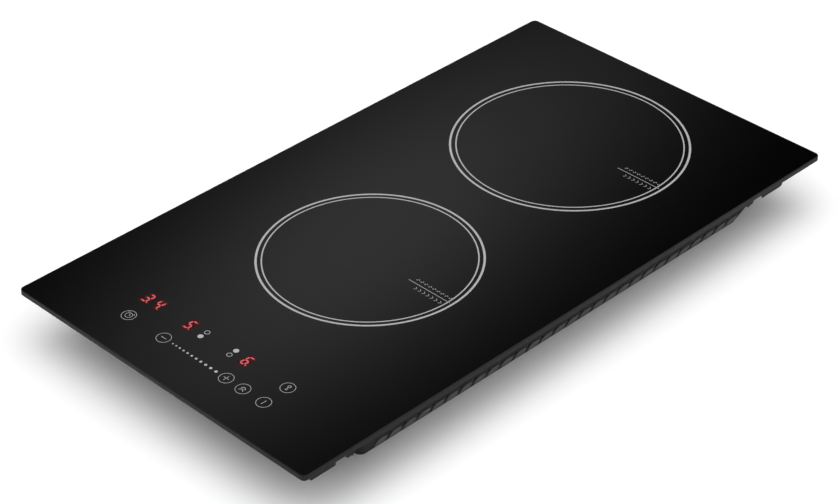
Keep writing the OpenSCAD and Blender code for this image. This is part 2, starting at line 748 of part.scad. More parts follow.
module bottom_tray() {
  rim = 3.8;
  color("#3a3b3e") difference() {
    union() {
      difference() {
        tray_solid(0, frame_z, 0);
        tray_solid(tray_t, frame_z + 1, tray_t);
      }
      difference() {
        slab(-wall_x(frame_z) - rim, wall_y0(frame_z), wall_x(frame_z) + rim, wall_y1(frame_z) + rim,
             frame_z - tray_t, tray_t, tray_r);
        slab(tray_t - wall_x(frame_z), wall_y0(frame_z) + tray_t, wall_x(frame_z) - tray_t,
             wall_y1(frame_z) - tray_t, frame_z - 2 * tray_t, 3 * tray_t, tray_r);
      }
      for (s = [0, 1], i = [0:slot_count - 1]) mirror([s, 0, 0]) wall_panel(slot_y0 + slot_pitch * (i - 0.5));
      for (p = pillar_xy) post(p, pillar_r, 0.5, deck_z);
      for (p = board_screw_xy) post(p, 4, 0.5, board_z);
      for (p = fan_ears) post(p, 4, 0.5, board_z);
      intersection() {
        union() for (p = tray_fixings) post(p, 5, 30, frame_z);
        tray_solid(1, frame_z, 0.5);
      }
      for (sx = [-1, 1]) clamp_ledge(sx * clamp_x, front_clamp_y, wall_y0(15) + 0.5);
      for (sx = [-1, 1]) clamp_ledge(sx * clamp_x, rear_clamp_y, wall_y1(15) - 0.5);
      translate([gland_x, 216.5, gland_z]) rotate([-90, 0, 0]) cylinder(r = 12, h = 12.5);
    }
    vent_slots();
    intake_grille();
    slab(-82, 162.5, -24, 207.5, -1, tray_t + 1.01, 2);
    for (p = pillar_xy) post(p, pilot_r, 12, deck_z + 1);
    for (p = board_screw_xy) post(p, pilot_r, tray_t, board_z + 1);
    for (p = fan_ears) post(p, pilot_r, tray_t, board_z + 1);
    for (p = tray_fixings) {
      post(p, pilot_r + 0.2, 20, frame_z + 1);
      post(p, 3.3, 10, 38);
    }
    for (sx = [-1, 1], y = [front_clamp_y, rear_clamp_y]) post([sx * clamp_x, y], clamp_r + pin_clear, 10, 30);
    translate([gland_x, 210, gland_z]) rotate([-90, 0, 0]) cylinder(r = gland_out + 0.1, h = 30);
    block(-38, -205, 40.6, -12, -185, 46.5);
    for (y = [-120, -90, 30, 60]) slab(-70, y - 4, 70, y + 4, -1, 1.6, 3.9);
  }
}

module frame_screws() {
  color("#9fa3a8") {
    for (p = tray_fixings) screw_up(p, 3, 1.5, 35.8, 38, 51.6);
    for (p = housing_ears) screw_up(p, 3, 1.5, housing_z - 2.2, housing_z, 51.6);
  }
}

// ---- mains terminals ----

module terminal_box() {
  z0 = tray_t;
  z1 = z0 + box_h;
  color("#dcdcd6") {
    difference() {
      slab(box_x0, box_y0, box_x1, box_y1, z0, box_h, 3);
      slab(box_x0 + box_t, box_y0 + box_t, box_x1 - box_t, box_y1 - box_t, z0 - 1, box_h + 1 - box_t, 2);
      translate([gland_x, 205, gland_z]) rotate([-90, 0, 0]) cylinder(r = gland_out + 0.1, h = 20);
      slab(-60, 150, -40, 165, 16, 6, 1);
    }
    for (x = [-76, -33]) {
      block(x, box_y0 + 1, hinge_z - 1.3, x + 3, hinge_y, hinge_z + 3);
      translate([x, hinge_y, hinge_z]) rotate([0, 90, 0]) cylinder(r = 1.5, h = 3);
    }
    for (x = [-73, -36]) translate([x, hinge_y, hinge_z]) rotate([0, 90, 0]) cylinder(r = 1.2, h = 3);
  }
}

// Three cores from the terminal block, through the box's front wall, to the tabs on the power board
module mains_wires() {
  for (k = [-1, 0, 1]) color(["#6b4a2f", "#3d6fa8", "#7f9c3a"][k + 1]) swept_bar([
    [10.5 * k - 53, 179.9, 17], [10.5 * k - 53, 172, 17.5], [6 * k - 50, 163, 19], [6 * k - 50, 155, 19],
    [6.5 * k - 52, 138, 18], [7 * k - 58, 118, 18], [8 * k - 62, 102, 19.5], [8 * k - 62, 95, 19.5],
    [8 * k - 62, 90, 17.5], [8 * k - 62, 90, top_z + mains_tab_h]
  ], 1.3, 8);
}

block_z0 = 12;
block_y = 187;
way_xs = [-74, -63.5, -53, -42.5, -32];

module terminal_block() {
  z1 = tray_t + box_h - box_t;
  color("#e9e8e2") difference() {
    block(-80, block_y - 10, block_z0, -26, block_y + 10, z1);
    for (x = way_xs) {
      post([x, block_y], 3.1, block_z0 - 1, block_z0 + 4);
      for (s = [-1, 1]) translate([x, block_y + s * 10, block_z0 + 5]) cube([6, 6, 5], center = true);
    }
  }
}

module terminal_screws() {
  color("#c9a24a") for (x = way_xs) difference() {
    post([x, block_y], 3, block_z0, block_z0 + 4);
    translate([x, block_y, block_z0]) cube([5, 0.8, 1.6], center = true);
  }
}

module terminal_cover() {
  z0 = 0.4;
  color("#2c2d30") difference() {
    union() {
      slab(-81, hinge_y - 2, -25, 206.5, z0, 1.5, 1);
      for (x = [-72.8, -39.2]) translate([x, hinge_y, hinge_z]) rotate([0, 90, 0]) cylinder(r = 2.8, h = 6);
      block(-66.8, hinge_y - 2, z0, -39.2, hinge_y + 1, z0 + 2.4);
    }
    for (x = [-73, -39.4]) translate([x, hinge_y, hinge_z]) rotate([0, 90, 0]) cylinder(r = 1.25, h = 6.6);
    for (x = [-77, -33.2]) block(x, hinge_y - 3, z0 - 1, x + 4.2, hinge_y + 3, z0 + 3);
    slab(-60, 202.5, -46, 204.5, z0 - 1, 2, 0.9);
  }
}

// Strain relief bush through the rear wall, with a flange outside
module cable_gland() {
  color("#1b1c1e") translate([gland_x, 0, gland_z]) rotate([-90, 0, 0]) difference() {
    union() {
      translate([0, 0, 210]) cylinder(r = gland_out, h = 19);
      translate([0, 0, 229]) cylinder(r = 11, h = 2.5);
    }
    translate([0, 0, 209]) cylinder(r = gland_r, h = 24);
  }
}

module cable_clamp() {
  y = 204;
  color("#e9e8e2") difference() {
    union() {
      block(gland_x - 14, y - 4, gland_z + 6, gland_x + 14, y + 4, tray_t + box_h - box_t);
      block(gland_x - 14, y - 3, gland_z - 6.5, gland_x + 14, y + 3, gland_z - 4);
    }
    translate([gland_x, y - 5, gland_z]) rotate([-90, 0, 0]) cylinder(r = gland_r, h = 10);
  }
  color("#9fa3a8") for (s = [-1, 1]) post([gland_x + s * 10.5, y], 1.5, gland_z - 4, gland_z + 6);
}

// ---- worktop clamps ----

module clamp_screws() {
  z1 = clamp_z + clamp_t + 0.3;
  color("#9fa3a8") for (sx = [-1, 1], y = [front_clamp_y, rear_clamp_y])
    screw_up([sx * clamp_x, y], 4.5, clamp_r, clamp_z - 3.4, clamp_z - 0.2, z1 + 7);
}

// Flat arm on its screw: reach is measured from the screw to the tip, way is its direction along X
module clamp_arm(x, y, reach, half_w, way) {
  color("#8d9196") translate([x, y, 0]) mirror([way < 0 ? 1 : 0, 0, 0]) difference() {
    union() {
      post([0, 0], half_w, clamp_z, clamp_z + clamp_t);
      block(0, -half_w, clamp_z, reach, half_w, clamp_z + clamp_t);
      block(reach - 2, -half_w, clamp_z, reach, half_w, clamp_z + clamp_t + 2.5);
    }
    post([0, 0], clamp_r + pin_clear, clamp_z - 1, clamp_z + clamp_t + 1);
    translate([reach, 0, clamp_z + 4.5]) cube([6, 2, 4], center = true);
  }
}

module clamp_front_left() clamp_arm(-clamp_x, front_clamp_y, 62, 7, 1);
module clamp_front_right() clamp_arm(clamp_x, front_clamp_y, 62, 7, -1);
module clamp_rear_left() clamp_arm(-clamp_x, rear_clamp_y, 26, 6.5, -1);
module clamp_rear_right() clamp_arm(clamp_x, rear_clamp_y, 26, 6.5, 1);

glass_plate();
glass_seal();
glass_bond();
mounting_frame();
control_housing();
touch_board();
touch_springs();
timer_display();
front_zone_display();
rear_zone_display();
indicator_lamps();
buzzer();
ribbon_cable();
coil_deck();
deck_screws();
coil_guide_pins();
front_coil_carrier();
front_coil_winding();
front_coil_ferrites();
front_coil_insulation();
front_temp_sensor();
front_coil_springs();
front_coil_leads();
rear_coil_carrier();
rear_coil_winding();
rear_coil_ferrites();
rear_coil_insulation();
rear_temp_sensor();
rear_coil_springs();
rear_coil_leads();
power_board();
heatsink();
power_transistors();
bridge_rectifier();
resonant_capacitors();
filter_capacitors();
filter_choke();
electrolytic_capacitors();
standby_transformer();
mains_relay();
mains_fuse();
base_screws();
fan_housing();
fan_motor();
fan_shaft();
fan_impeller();
mains_wires();
bottom_tray();
frame_screws();
terminal_box();
terminal_block();
terminal_screws();
terminal_cover();
cable_gland();
cable_clamp();
clamp_screws();
clamp_front_left();
clamp_front_right();
clamp_rear_left();
clamp_rear_right();
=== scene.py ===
"""Looks for a two-zone domino induction hob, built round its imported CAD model."""
from math import atan2, cos, hypot, pi, radians, sin, tan

import bmesh
import bpy
from mathutils import Matrix, Vector


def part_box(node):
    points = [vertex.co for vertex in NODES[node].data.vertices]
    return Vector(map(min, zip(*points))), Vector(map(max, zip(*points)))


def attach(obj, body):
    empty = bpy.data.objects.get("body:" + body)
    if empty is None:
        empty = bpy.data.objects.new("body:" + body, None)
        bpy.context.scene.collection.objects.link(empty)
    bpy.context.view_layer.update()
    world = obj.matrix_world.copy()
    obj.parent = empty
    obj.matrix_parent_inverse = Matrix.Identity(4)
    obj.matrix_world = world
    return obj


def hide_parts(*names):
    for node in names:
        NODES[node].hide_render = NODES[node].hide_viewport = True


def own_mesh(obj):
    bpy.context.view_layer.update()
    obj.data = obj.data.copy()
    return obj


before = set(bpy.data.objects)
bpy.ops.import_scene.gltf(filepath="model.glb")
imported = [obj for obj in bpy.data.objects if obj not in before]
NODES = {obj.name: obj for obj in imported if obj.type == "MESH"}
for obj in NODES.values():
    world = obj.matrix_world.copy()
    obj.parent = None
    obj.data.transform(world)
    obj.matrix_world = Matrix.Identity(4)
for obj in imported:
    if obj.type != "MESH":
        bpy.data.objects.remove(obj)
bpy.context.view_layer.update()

MM = 0.001


def box_mm(node):
    """Lowest and highest corners of a CAD node, in millimetres."""
    low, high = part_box(node)
    return low / MM, high / MM


def middle(node):
    return sum(box_mm(node), Vector()) / 2


def solids_mm(node):
    """Points of each separate solid of a CAD node, in millimetres, in order of place."""
    bm = bmesh.new()
    bm.from_mesh(NODES[node].data)
    bmesh.ops.remove_doubles(bm, verts=bm.verts, dist=1e-6)
    left = set(bm.verts)
    found = []
    for vert in bm.verts:
        if vert not in left:
            continue
        left.remove(vert)
        group = [vert]
        for member in group:
            for edge in member.link_edges:
                other = edge.other_vert(member)
                if other in left:
                    left.remove(other)
                    group.append(other)
        found.append([member.co / MM for member in group])
    bm.free()
    return sorted(found, key=lambda points: tuple(round(c) for c in corners(points)[0]))


def corners(points):
    return tuple(Vector(pick(p[k] for p in points) for k in range(3)) for pick in (min, max))


def solid_boxes(node):
    """Lowest and highest corners, and middle, of each separate solid of a CAD node."""
    return [(low, high, (low + high) / 2) for low, high in map(corners, solids_mm(node))]


def end_point(points, top):
    """Middle of a solid's highest or lowest points."""
    low, high = corners(points)
    level = high.z if top else low.z
    near = [p for p in points if abs(p.z - level) < 0.3]
    a, b = corners(near)
    return (a + b) / 2


GLASS_LOW, GLASS_HIGH = box_mm("glass_plate")
TOP = GLASS_HIGH.z
FRONT = GLASS_LOW.y
GLASS_CORNER = 4.0


def show(made):
    bpy.context.scene.collection.objects.link(made)


# ---- camera, light and floor ----

def direction(azimuth, elevation):
    """Unit vector towards a point seen at this azimuth, 0 being straight in front, and elevation."""
    a, e = radians(azimuth), radians(elevation)
    return Vector((sin(a) * cos(e), -cos(a) * cos(e), sin(e)))


def make_camera():
    azimuth, elevation, roll = 45.35, 34.826, radians(-0.529)
    aim = Vector((0.02188, -0.03577, TOP * MM))
    distance = 1.80503
    back = direction(azimuth, elevation)
    right = Vector((0, 0, 1)).cross(back).normalized()
    up = back.cross(right)
    tilted_right = right * cos(roll) + up * sin(roll)
    tilted_up = up * cos(roll) - right * sin(roll)
    data = bpy.data.cameras.new("camera")
    data.lens = 110.565
    data.sensor_width = 36
    data.clip_end = 50
    camera = bpy.data.objects.new("camera", data)
    camera.matrix_world = Matrix.Translation(aim + back * distance) @ Matrix(
        (tilted_right, tilted_up, back)).transposed().to_4x4()
    show(camera)
    bpy.context.scene.camera = camera


def feed(tree, node, **inputs):
    """Sets a node's inputs, or links sockets to them. An underscore stands for a space in an input's name."""
    for label, value in inputs.items():
        socket = node.inputs[label.replace("_", " ")]
        if isinstance(value, bpy.types.NodeSocket):
            tree.links.new(value, socket)
        else:
            socket.default_value = value


def math_node(tree, operation, *values):
    """Math node whose inputs are numbers or sockets; gives back its output socket."""
    node = tree.nodes.new("ShaderNodeMath")
    node.operation = operation
    for socket, value in zip(node.inputs, values):
        if isinstance(value, bpy.types.NodeSocket):
            tree.links.new(value, socket)
        else:
            socket.default_value = value
    return node.outputs[0]


def times(tree, first, second):
    return math_node(tree, "MULTIPLY", first, second)


def vector_math(tree, operation, vector, constant=(0, 0, 0)):
    node = tree.nodes.new("ShaderNodeVectorMath")
    node.operation = operation
    tree.links.new(vector, node.inputs[0])
    node.inputs[1].default_value = constant
    return node.outputs["Value" if operation in ("DOT_PRODUCT", "LENGTH") else "Vector"]


def make_studio():
    """Soft studio: round lights above and round the front and right, and a tilted strip behind that the glass
    mirrors."""
    world = bpy.data.worlds.new("studio")
    world.use_nodes = True
    bpy.context.scene.world = world
    tree = world.node_tree
    sky = tree.nodes.new("ShaderNodeTexCoord").outputs["Generated"]
    total = 0.0
    # (azimuth, elevation, tightness, brightness) of each round soft light
    for azimuth, elevation, tight, bright in ((45, 74, 9, 3.0), (42, 60, 13, 2.4), (0, 42, 11, 1.5),
                                            (92, 42, 11, 1.5), (-50, 45, 12, 0.5), (140, 45, 12, 0.5)):
        facing = vector_math(tree, "DOT_PRODUCT", sky, direction(azimuth, elevation))
        fade = times(tree, math_node(tree, "SUBTRACT", facing, 1.0), tight)
        light = times(tree, math_node(tree, "EXPONENT", fade), bright)
        total = math_node(tree, "ADD", light, total)
    # The strip light that the glass mirrors: long along one axis of its face and short along the other
    strip = direction(227.18, 34.73)
    across = Vector((-0.7242, -0.0833, -0.6845))
    along = Vector((-0.3349, -0.8253, 0.4547))
    fades = []
    for axis, tight in ((across, -474.0), (along, -66.6)):
        offset = vector_math(tree, "DOT_PRODUCT", sky, axis)
        fades.append(times(tree, times(tree, offset, offset), tight))
    lobe = math_node(tree, "EXPONENT", math_node(tree, "ADD", *fades))
    facing = math_node(tree, "GREATER_THAN", vector_math(tree, "DOT_PRODUCT", sky, strip), 0.0)
    lobe = times(tree, times(tree, lobe, facing), 0.437)
    feed(tree, tree.nodes["Background"], Color=(1, 1, 1, 1), Strength=math_node(tree, "ADD", total, lobe))


def make_floor():
    bm = bmesh.new()
    bmesh.ops.create_grid(bm, x_segments=1, y_segments=1, size=8.0)
    mesh = bpy.data.meshes.new("floor")
    bm.to_mesh(mesh)
    floor = bpy.data.objects.new("floor", mesh)
    show(floor)
    mesh.materials.append(surface("pale_floor", (0.86, 0.86, 0.865), 0.9, vary=0.01, patch=300, bump=0.0))


# ---- materials ----

def noise(tree, coords, size, detail=2.0, stretch=(1, 1, 1)):
    """Noise texture whose features measure about size millimetres, drawn out where stretch is small."""
    mapping = tree.nodes.new("ShaderNodeMapping")
    feed(tree, mapping, Scale=stretch, Vector=coords)
    node = tree.nodes.new("ShaderNodeTexNoise")
    feed(tree, node, Scale=1 / (size * MM), Detail=detail, Vector=mapping.outputs["Vector"])
    return node.outputs["Fac"]


def spread(tree, value, low, high):
    """Maps a texture's middle range onto low to high."""
    node = tree.nodes.new("ShaderNodeMapRange")
    feed(tree, node, Value=value, From_Min=0.3, From_Max=0.7, To_Min=low, To_Max=high)
    return node.outputs["Result"]


def blend_colours(tree, value, first, second):
    node = tree.nodes.new("ShaderNodeMix")
    node.data_type = "RGBA"
    colours = [socket for socket in node.inputs if socket.type == "RGBA"]
    for socket, colour in zip(colours, (first, second)):
        if isinstance(colour, tuple):
            socket.default_value = (*colour, 1)
        else:
            tree.links.new(colour, socket)
    tree.links.new(value, node.inputs["Factor"])
    return next(socket for socket in node.outputs if socket.type == "RGBA")


def blank_material(name):
    mat = bpy.data.materials.new(name)
    mat.use_nodes = True
    tree = mat.node_tree
    return mat, tree, tree.nodes["Principled BSDF"], tree.nodes.new("ShaderNodeTexCoord").outputs["Object"]


def nodes_of(mat):
    """Node tree, shader and object coordinates of a material made here."""
    tree = mat.node_tree
    return tree, tree.nodes["Principled BSDF"], tree.nodes["Texture Coordinate"].outputs["Object"]


def relief(tree, shader, height, depth, edge):
    """Bump of depth millimetres over edges softened to a radius of edge millimetres."""
    bump = tree.nodes.new("ShaderNodeBump")
    feed(tree, bump, Strength=1.0, Distance=depth * MM, Height=height)
    if edge:
        bevel = tree.nodes.new("ShaderNodeBevel")
        bevel.samples = 4
        bevel.inputs["Radius"].default_value = edge * MM
        tree.links.new(bevel.outputs["Normal"], bump.inputs["Normal"])
    tree.links.new(bump.outputs["Normal"], shader.inputs["Normal"])


def surface(name, colour, rough, metal=0.0, vary=0.15, patch=15.0, uneven=0.08, grain=0.5, bump=0.01,
            edge=0.0, stretch=(1, 1, 1), **sockets):
    """Material with blotches of patch millimetres, uneven gloss and a relief of grain millimetres."""
    mat, tree, shader, coords = blank_material(name)
    darker = tuple(c * (1 - vary) for c in colour)
    lighter = tuple(min(c * (1 + vary), 1.0) for c in colour)
    blotch = spread(tree, noise(tree, coords, patch, 4.0, stretch), 0, 1)
    gloss = spread(tree, noise(tree, coords, patch * 0.4, 5.0, stretch), rough - uneven, rough + uneven)
    feed(tree, shader, Metallic=metal, Base_Color=blend_colours(tree, blotch, darker, lighter),
         Roughness=gloss, **sockets)
    relief(tree, shader, noise(tree, coords, grain, 3.0, stretch), bump, edge)
    return mat


def plastic(name, colour, rough=0.5, **options):
    return surface(name, colour, rough, **{"grain": 0.35, "bump": 0.012, "edge": 0.25, **options})


def steel(name, colour=(0.55, 0.56, 0.58), rough=0.32, **options):
    return surface(name, colour, rough, **{"metal": 1.0, "vary": 0.12, "grain": 0.6, "bump": 0.004,
                                           "edge": 0.15, **options})


def glass_ceramic():
    """Polished black glass, with painted red glow: the glass itself emits round each digit, standing in for
    the display's light spreading in it.
    """
    mat, tree, shader, coords = blank_material("black_glass_ceramic")
    haze = spread(tree, noise(tree, coords, 60, 4.0), 0, 1)
    feed(tree, shader, IOR=1.5, Roughness=spread(tree, noise(tree, coords, 35, 5.0), 0.045, 0.06),
         Base_Color=blend_colours(tree, haze, (0.0003, 0.0003, 0.0004), (0.0005, 0.0005, 0.0006)))
    relief(tree, shader, noise(tree, coords, 0.6, 2.0), 0.0004, 0.0)
    # Painted glow: emission on the glass, strongest at each digit and fading out round it
    glow = 0.0
    reach = 3.0 * MM  # of the glow past a digit, and nearly twice as far along y and z
    for x, _ in DIGITS:
        offset = vector_math(tree, "SUBTRACT", coords, (x * MM, (FRONT + DIGIT_ROW) * MM, TOP * MM))
        scaled = vector_math(tree, "MULTIPLY", offset, (1 / reach, 0.55 / reach, 0.55 / reach))
        length = vector_math(tree, "LENGTH", scaled)
        fade = math_node(tree, "EXPONENT", times(tree, times(tree, length, length), -1.0))
        glow = math_node(tree, "ADD", fade, glow)
    feed(tree, shader, Emission_Color=(1.0, 0.03, 0.03, 1), Emission_Strength=times(tree, glow, 0.012))
    return mat


def shining(name, colour):
    """Glowing material: a faintly uneven glow over a dark body. The lit digits wear it as the display's own
    light, and the halos round them wear it as painted glow.
    """
    mat = surface(name, tuple(c * 0.3 for c in colour), 0.4, vary=0.1, patch=2, bump=0.0)
    tree, shader, coords = nodes_of(mat)
    feed(tree, shader, Emission_Color=(*colour, 1),
         Emission_Strength=spread(tree, noise(tree, coords, 1.2), 0.85, 1.15))
    return mat


# ---- mesh helpers; shapes are drawn in millimetres ----

def piece(name, bm, mat, body="base", stands_for=(), smooth=True, second=None):
    """Turns a drawn shape into a piece that rides on a body. Faces of material index 1 wear the second
    material."""
    bmesh.ops.recalc_face_normals(bm, faces=bm.faces)
    bmesh.ops.scale(bm, vec=(MM, MM, MM), verts=bm.verts)
    mesh = bpy.data.meshes.new(name)
    for face in bm.faces:
        face.smooth = smooth
    bm.to_mesh(mesh)
    bm.free()
    mesh.materials.append(mat)
    if second:
        mesh.materials.append(second)
    made = bpy.data.objects.new(name, mesh)
    show(made)
    if smooth:
        mesh.set_sharp_from_angle(angle=radians(40))
        for face in mesh.polygons:  # wide end faces stay flat
            face.use_smooth = len(face.vertices) < 5
    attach(made, body)
    if stands_for:
        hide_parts(*stands_for)
    return made


def bridge(bm, near, far, material=0):
    """Faces between two loops of as many vertices."""
    for i in range(len(near)):
        j = (i + 1) % len(near)
        bm.faces.new((near[i], near[j], far[j], far[i])).material_index = material


def skin(bm, loops, material=0):
    """Closed solid through a row of loops of vertices, with a flat face at each end."""
    for near, far in zip(loops, loops[1:]):
        bridge(bm, near, far, material)
    bm.faces.new(loops[0])
    bm.faces.new(loops[-1])


def prism(bm, outline, z0, z1):
    """Closed solid over an outline of (x, y) points."""
    skin(bm, [[bm.verts.new((x, y, z)) for x, y in outline] for z in (z0, z1)])


def around(x, y, r, sides, start=0.0, sweep=2 * pi, closed=True):
    step = sweep / (sides if closed else sides - 1)
    return [(x + r * cos(start + step * i), y + r * sin(start + step * i)) for i in range(sides)]


def ring(bm, x, y, outer, width, z0, z1, sides=64):
    """Flat ring with its outer radius and its width."""
    loops = [[bm.verts.new((px, py, z)) for px, py in around(x, y, r, sides)]
             for z, r in ((z0, outer - width), (z0, outer), (z1, outer), (z1, outer - width))]
    for near, far in zip(loops, loops[1:] + loops[:1]):
        bridge(bm, near, far)


def stroke(bm, a, b, width, z0, z1):
    """Straight line with round ends."""
    angle = atan2(b[1] - a[1], b[0] - a[0])
    ends = [around(*end, width / 2, 7, angle + turn, pi, False) for end, turn in ((b, -pi / 2), (a, pi / 2))]
    prism(bm, ends[0] + ends[1], z0, z1)


def tube(bm, path, radius, sides=10, lobes=0, twist=0.0, depth=0.0):
    """Closed tube along a path of points. With lobes its section is fluted and turns by twist a ring, as a
    stranded wire's does."""
    n = len(path)
    points = [Vector(p) for p in path]
    heading = (points[1] - points[0]).normalized()
    side = heading.orthogonal().normalized()
    rings = []
    for i, point in enumerate(points):
        turned_to = (points[min(i + 1, n - 1)] - points[max(i - 1, 0)]).normalized()
        side = (heading.rotation_difference(turned_to) @ side).normalized()
        heading = turned_to
        other = heading.cross(side)
        loop = []
        for k in range(sides):
            a = 2 * pi * k / sides
            r = radius - depth * (0.5 - 0.5 * cos(lobes * a))
            b = a + twist * i
            loop.append(bm.verts.new(point + side * (r * cos(b)) + other * (r * sin(b))))
        rings.append(loop)
    skin(bm, rings)


def rings_round(bm, at, rows, sides, axis):
    """Loops round an axis through at. A row is (height, radius); a radius may be a function of the angle."""
    loops = []
    for height, radius in rows:
        loop = []
        for k in range(sides):
            a = 2 * pi * k / sides
            r = radius(a) if callable(radius) else radius
            u, v = r * cos(a), r * sin(a)
            offset = {"z": (u, v, height), "y": (u, height, v), "x": (height, u, v)}[axis]
            loop.append(bm.verts.new(Vector(at) + Vector(offset)))
        loops.append(loop)
    return loops


def turned(bm, at, rows, sides=32, axis="z"):
    """Solid of stacked rings, closed at both ends."""
    skin(bm, rings_round(bm, at, rows, sides, axis))


def lathe(bm, at, profile, sides=48, axis="z"):
    """Solid of revolution whose section is a closed outline of (height, radius) points, such as a bush's."""
    loops = rings_round(bm, at, profile, sides, axis)
    for near, far in zip(loops, loops[1:] + loops[:1]):
        bridge(bm, near, far)


def soft_box(bm, low, high, radius=0.8, segments=3):
    """Box with rounded edges between two corners."""
    low, high = Vector(low), Vector(high)
    made = bmesh.ops.create_cube(bm, size=1.0)["verts"]
    for vert in made:
        vert.co = Vector(((low[k] + high[k]) / 2 + vert.co[k] * (high[k] - low[k])) for k in range(3))
    edges = {edge for vert in made for edge in vert.link_edges}
    bmesh.ops.bevel(bm, geom=list(edges), offset=radius, segments=segments, profile=0.5, affect="EDGES")


def carved(bm, cutter):
    """The first shape less the second."""
    made = []
    for shape in (bm, cutter):
        bmesh.ops.recalc_face_normals(shape, faces=shape.faces)
        mesh = bpy.data.meshes.new("carving")
        shape.to_mesh(mesh)
        shape.free()
        made.append(bpy.data.objects.new("carving", mesh))
        show(made[-1])
    cut = made[0].modifiers.new("cut", "BOOLEAN")
    cut.object = made[1]
    cut.operation = "DIFFERENCE"
    cut.solver = "EXACT"
    result = bmesh.new()
    result.from_mesh(made[0].evaluated_get(bpy.context.evaluated_depsgraph_get()).to_mesh())
    for shape in made:
        bpy.data.objects.remove(shape)
    return result


def stamp(bm, source, place):
    """Adds a copy of a drawn shape, moved by a matrix."""
    mesh = bpy.data.meshes.new("stamp")
    source.to_mesh(mesh)
    mesh.transform(place)
    bm.from_mesh(mesh)
    bpy.data.meshes.remove(mesh)


def smooth_path(points, steps=6):
    """Points of a soft curve through the given ones."""
    found = []
    knots = [Vector(p) for p in points]
    knots = [knots[0] * 2 - knots[1], *knots, knots[-1] * 2 - knots[-2]]
    for a, b, c, d in zip(knots, knots[1:], knots[2:], knots[3:]):
        for i in range(steps):
            t = i / steps
            found.append(0.5 * (2 * b + (c - a) * t + (2 * a - 5 * b + 4 * c - d) * t ** 2
                                + (3 * b - a - 3 * c + d) * t ** 3))
    return [*found, knots[-2]]


def rounded_outline(low, high, r, inset, steps=10):
    """Points round a rectangle with round corners, drawn in by inset."""
    x0, y0, x1, y1 = low.x + r, low.y + r, high.x - r, high.y - r
    found = []
    for x, y, start in ((x1, y1, 0), (x0, y1, 1), (x0, y0, 2), (x1, y0, 3)):
        found += around(x, y, r - inset, steps, start * pi / 2, pi / 2, False)
    return found


def make_glass(polished, ground):
    """The plate: polished faces, and a ground edge with rounded arrises."""
    low, high = box_mm("glass_plate")
    levels = []
    for z, turn, arris in ((low.z, -1, 0.2), (high.z, 1, 0.5)):
        for k in range(5):
            a = pi / 2 * (k if turn < 0 else 4 - k) / 4
            levels.append((z - turn * arris * (1 - cos(a)), arris * (1 - sin(a))))
    bm = bmesh.new()
    skin(bm, [[bm.verts.new((x, y, z)) for x, y in rounded_outline(low, high, GLASS_CORNER, inset)]
              for z, inset in levels], material=1)
    piece("glass_top_ground", bm, polished, stands_for=("glass_plate",), second=ground)


# ---- fasteners and springs ----

def screw_shape(head_r, head_h, shank_r, long):
    """Pan-head screw: the head stands on z 0 with its cross recess on top, the threaded shank hangs below."""
    pitch, depth, sides = shank_r * 0.5, shank_r * 0.13, 16

    def thread(height):
        return lambda a: shank_r - depth * abs(2 * ((height / pitch - a / (2 * pi)) % 1) - 1)

    rows = [(-long, shank_r * 0.5), (-long + pitch, shank_r * 0.82)]
    steps = int((long - pitch - 0.4) / (pitch / 3))
    for i in range(1, steps):
        height = -long + pitch + i * pitch / 3
        rows.append((height, thread(height)))
    rows += [(-0.3, shank_r * 0.86), (0, shank_r * 0.86), (0.001, head_r * 0.97), (head_h * 0.12, head_r)]
    for i in range(1, 6):
        a = pi / 2 * i / 5.6
        rows.append((head_h * (0.3 + 0.7 * sin(a)), head_r * (0.45 + 0.55 * cos(a))))
    bm = bmesh.new()
    turned(bm, (0, 0, 0), rows, sides)
    cross = bmesh.new()
    w, arm = head_r * 0.13, head_r * 0.55
    outline = [(w, w), (w, arm), (-w, arm), (-w, w), (-arm, w), (-arm, -w), (-w, -w), (-w, -arm), (w, -arm),
               (w, -w), (arm, -w), (arm, w)]
    prism(cross, outline, head_h * 0.4, head_h + 1)
    return carved(bm, cross)


def make_screws(node, head_h, shank_r, head_low, mat):
    """Screws in place of a CAD node's plain ones."""
    bm = bmesh.new()
    for low, high, centre in solid_boxes(node):
        shape = screw_shape((high.x - low.x) / 2, head_h, shank_r, high.z - low.z - head_h)
        if head_low:
            place = Matrix.Translation((centre.x, centre.y, low.z + head_h)) @ Matrix.Rotation(pi, 4, "X")
        else:
            place = Matrix.Translation((centre.x, centre.y, high.z - head_h))
        stamp(bm, shape, place)
        shape.free()
    piece(node + "_threaded", bm, mat, stands_for=(node,))


def spring_path(x, y, z0, z1, r0, r1, turns, wire):
    """Wire of a compression spring whose end turns lie flat."""
    steps, flat = 24, 0.75
    n = int(turns * steps)
    path = []
    for i in range(n + 1):
        t = i / n
        rise = min(max((t * turns - flat) / (turns - 2 * flat), 0), 1)
        r, a = r0 + (r1 - r0) * t, 2 * pi * turns * t
        lift = wire + wire * 1.6 * (min(t * turns / flat, 1) if rise == 0 else 1)
        low, high = z0 + lift, z1 - wire - wire * 1.6 * (min((1 - t) * turns / flat, 1) if rise == 1 else 1)
        path.append((x + r * cos(a), y + r * sin(a), low + (high - low) * rise))
    return path


def make_coil_springs(zone, mat):
    """Three springs under a coil."""
    node = f"{zone}_coil_springs"
    wire = 0.45
    bm = bmesh.new()
    for low, high, centre in solid_boxes(node):
        reach = (high.x - low.x) / 2 - wire
        tube(bm, spring_path(centre.x, centre.y, low.z, high.z, reach, reach, 5.0, wire), wire, 8)
    low, high = box_mm(node)
    made = piece(f"{zone}_springs_wound", bm, mat, stands_for=(node,))
    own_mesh(made)


def make_touch_springs(mat):
    """Cone springs that press the touch pads against the glass."""
    wire = 0.3
    bm = bmesh.new()
    for low, high, centre in solid_boxes("touch_springs"):
        reach = (high.x - low.x) / 2 - wire
        tube(bm, spring_path(centre.x, centre.y, low.z, high.z, reach * 0.77, reach, 4.0, wire), wire, 6)
    piece("touch_springs_wound", bm, mat, stands_for=("touch_springs",))


# ---- coils ----


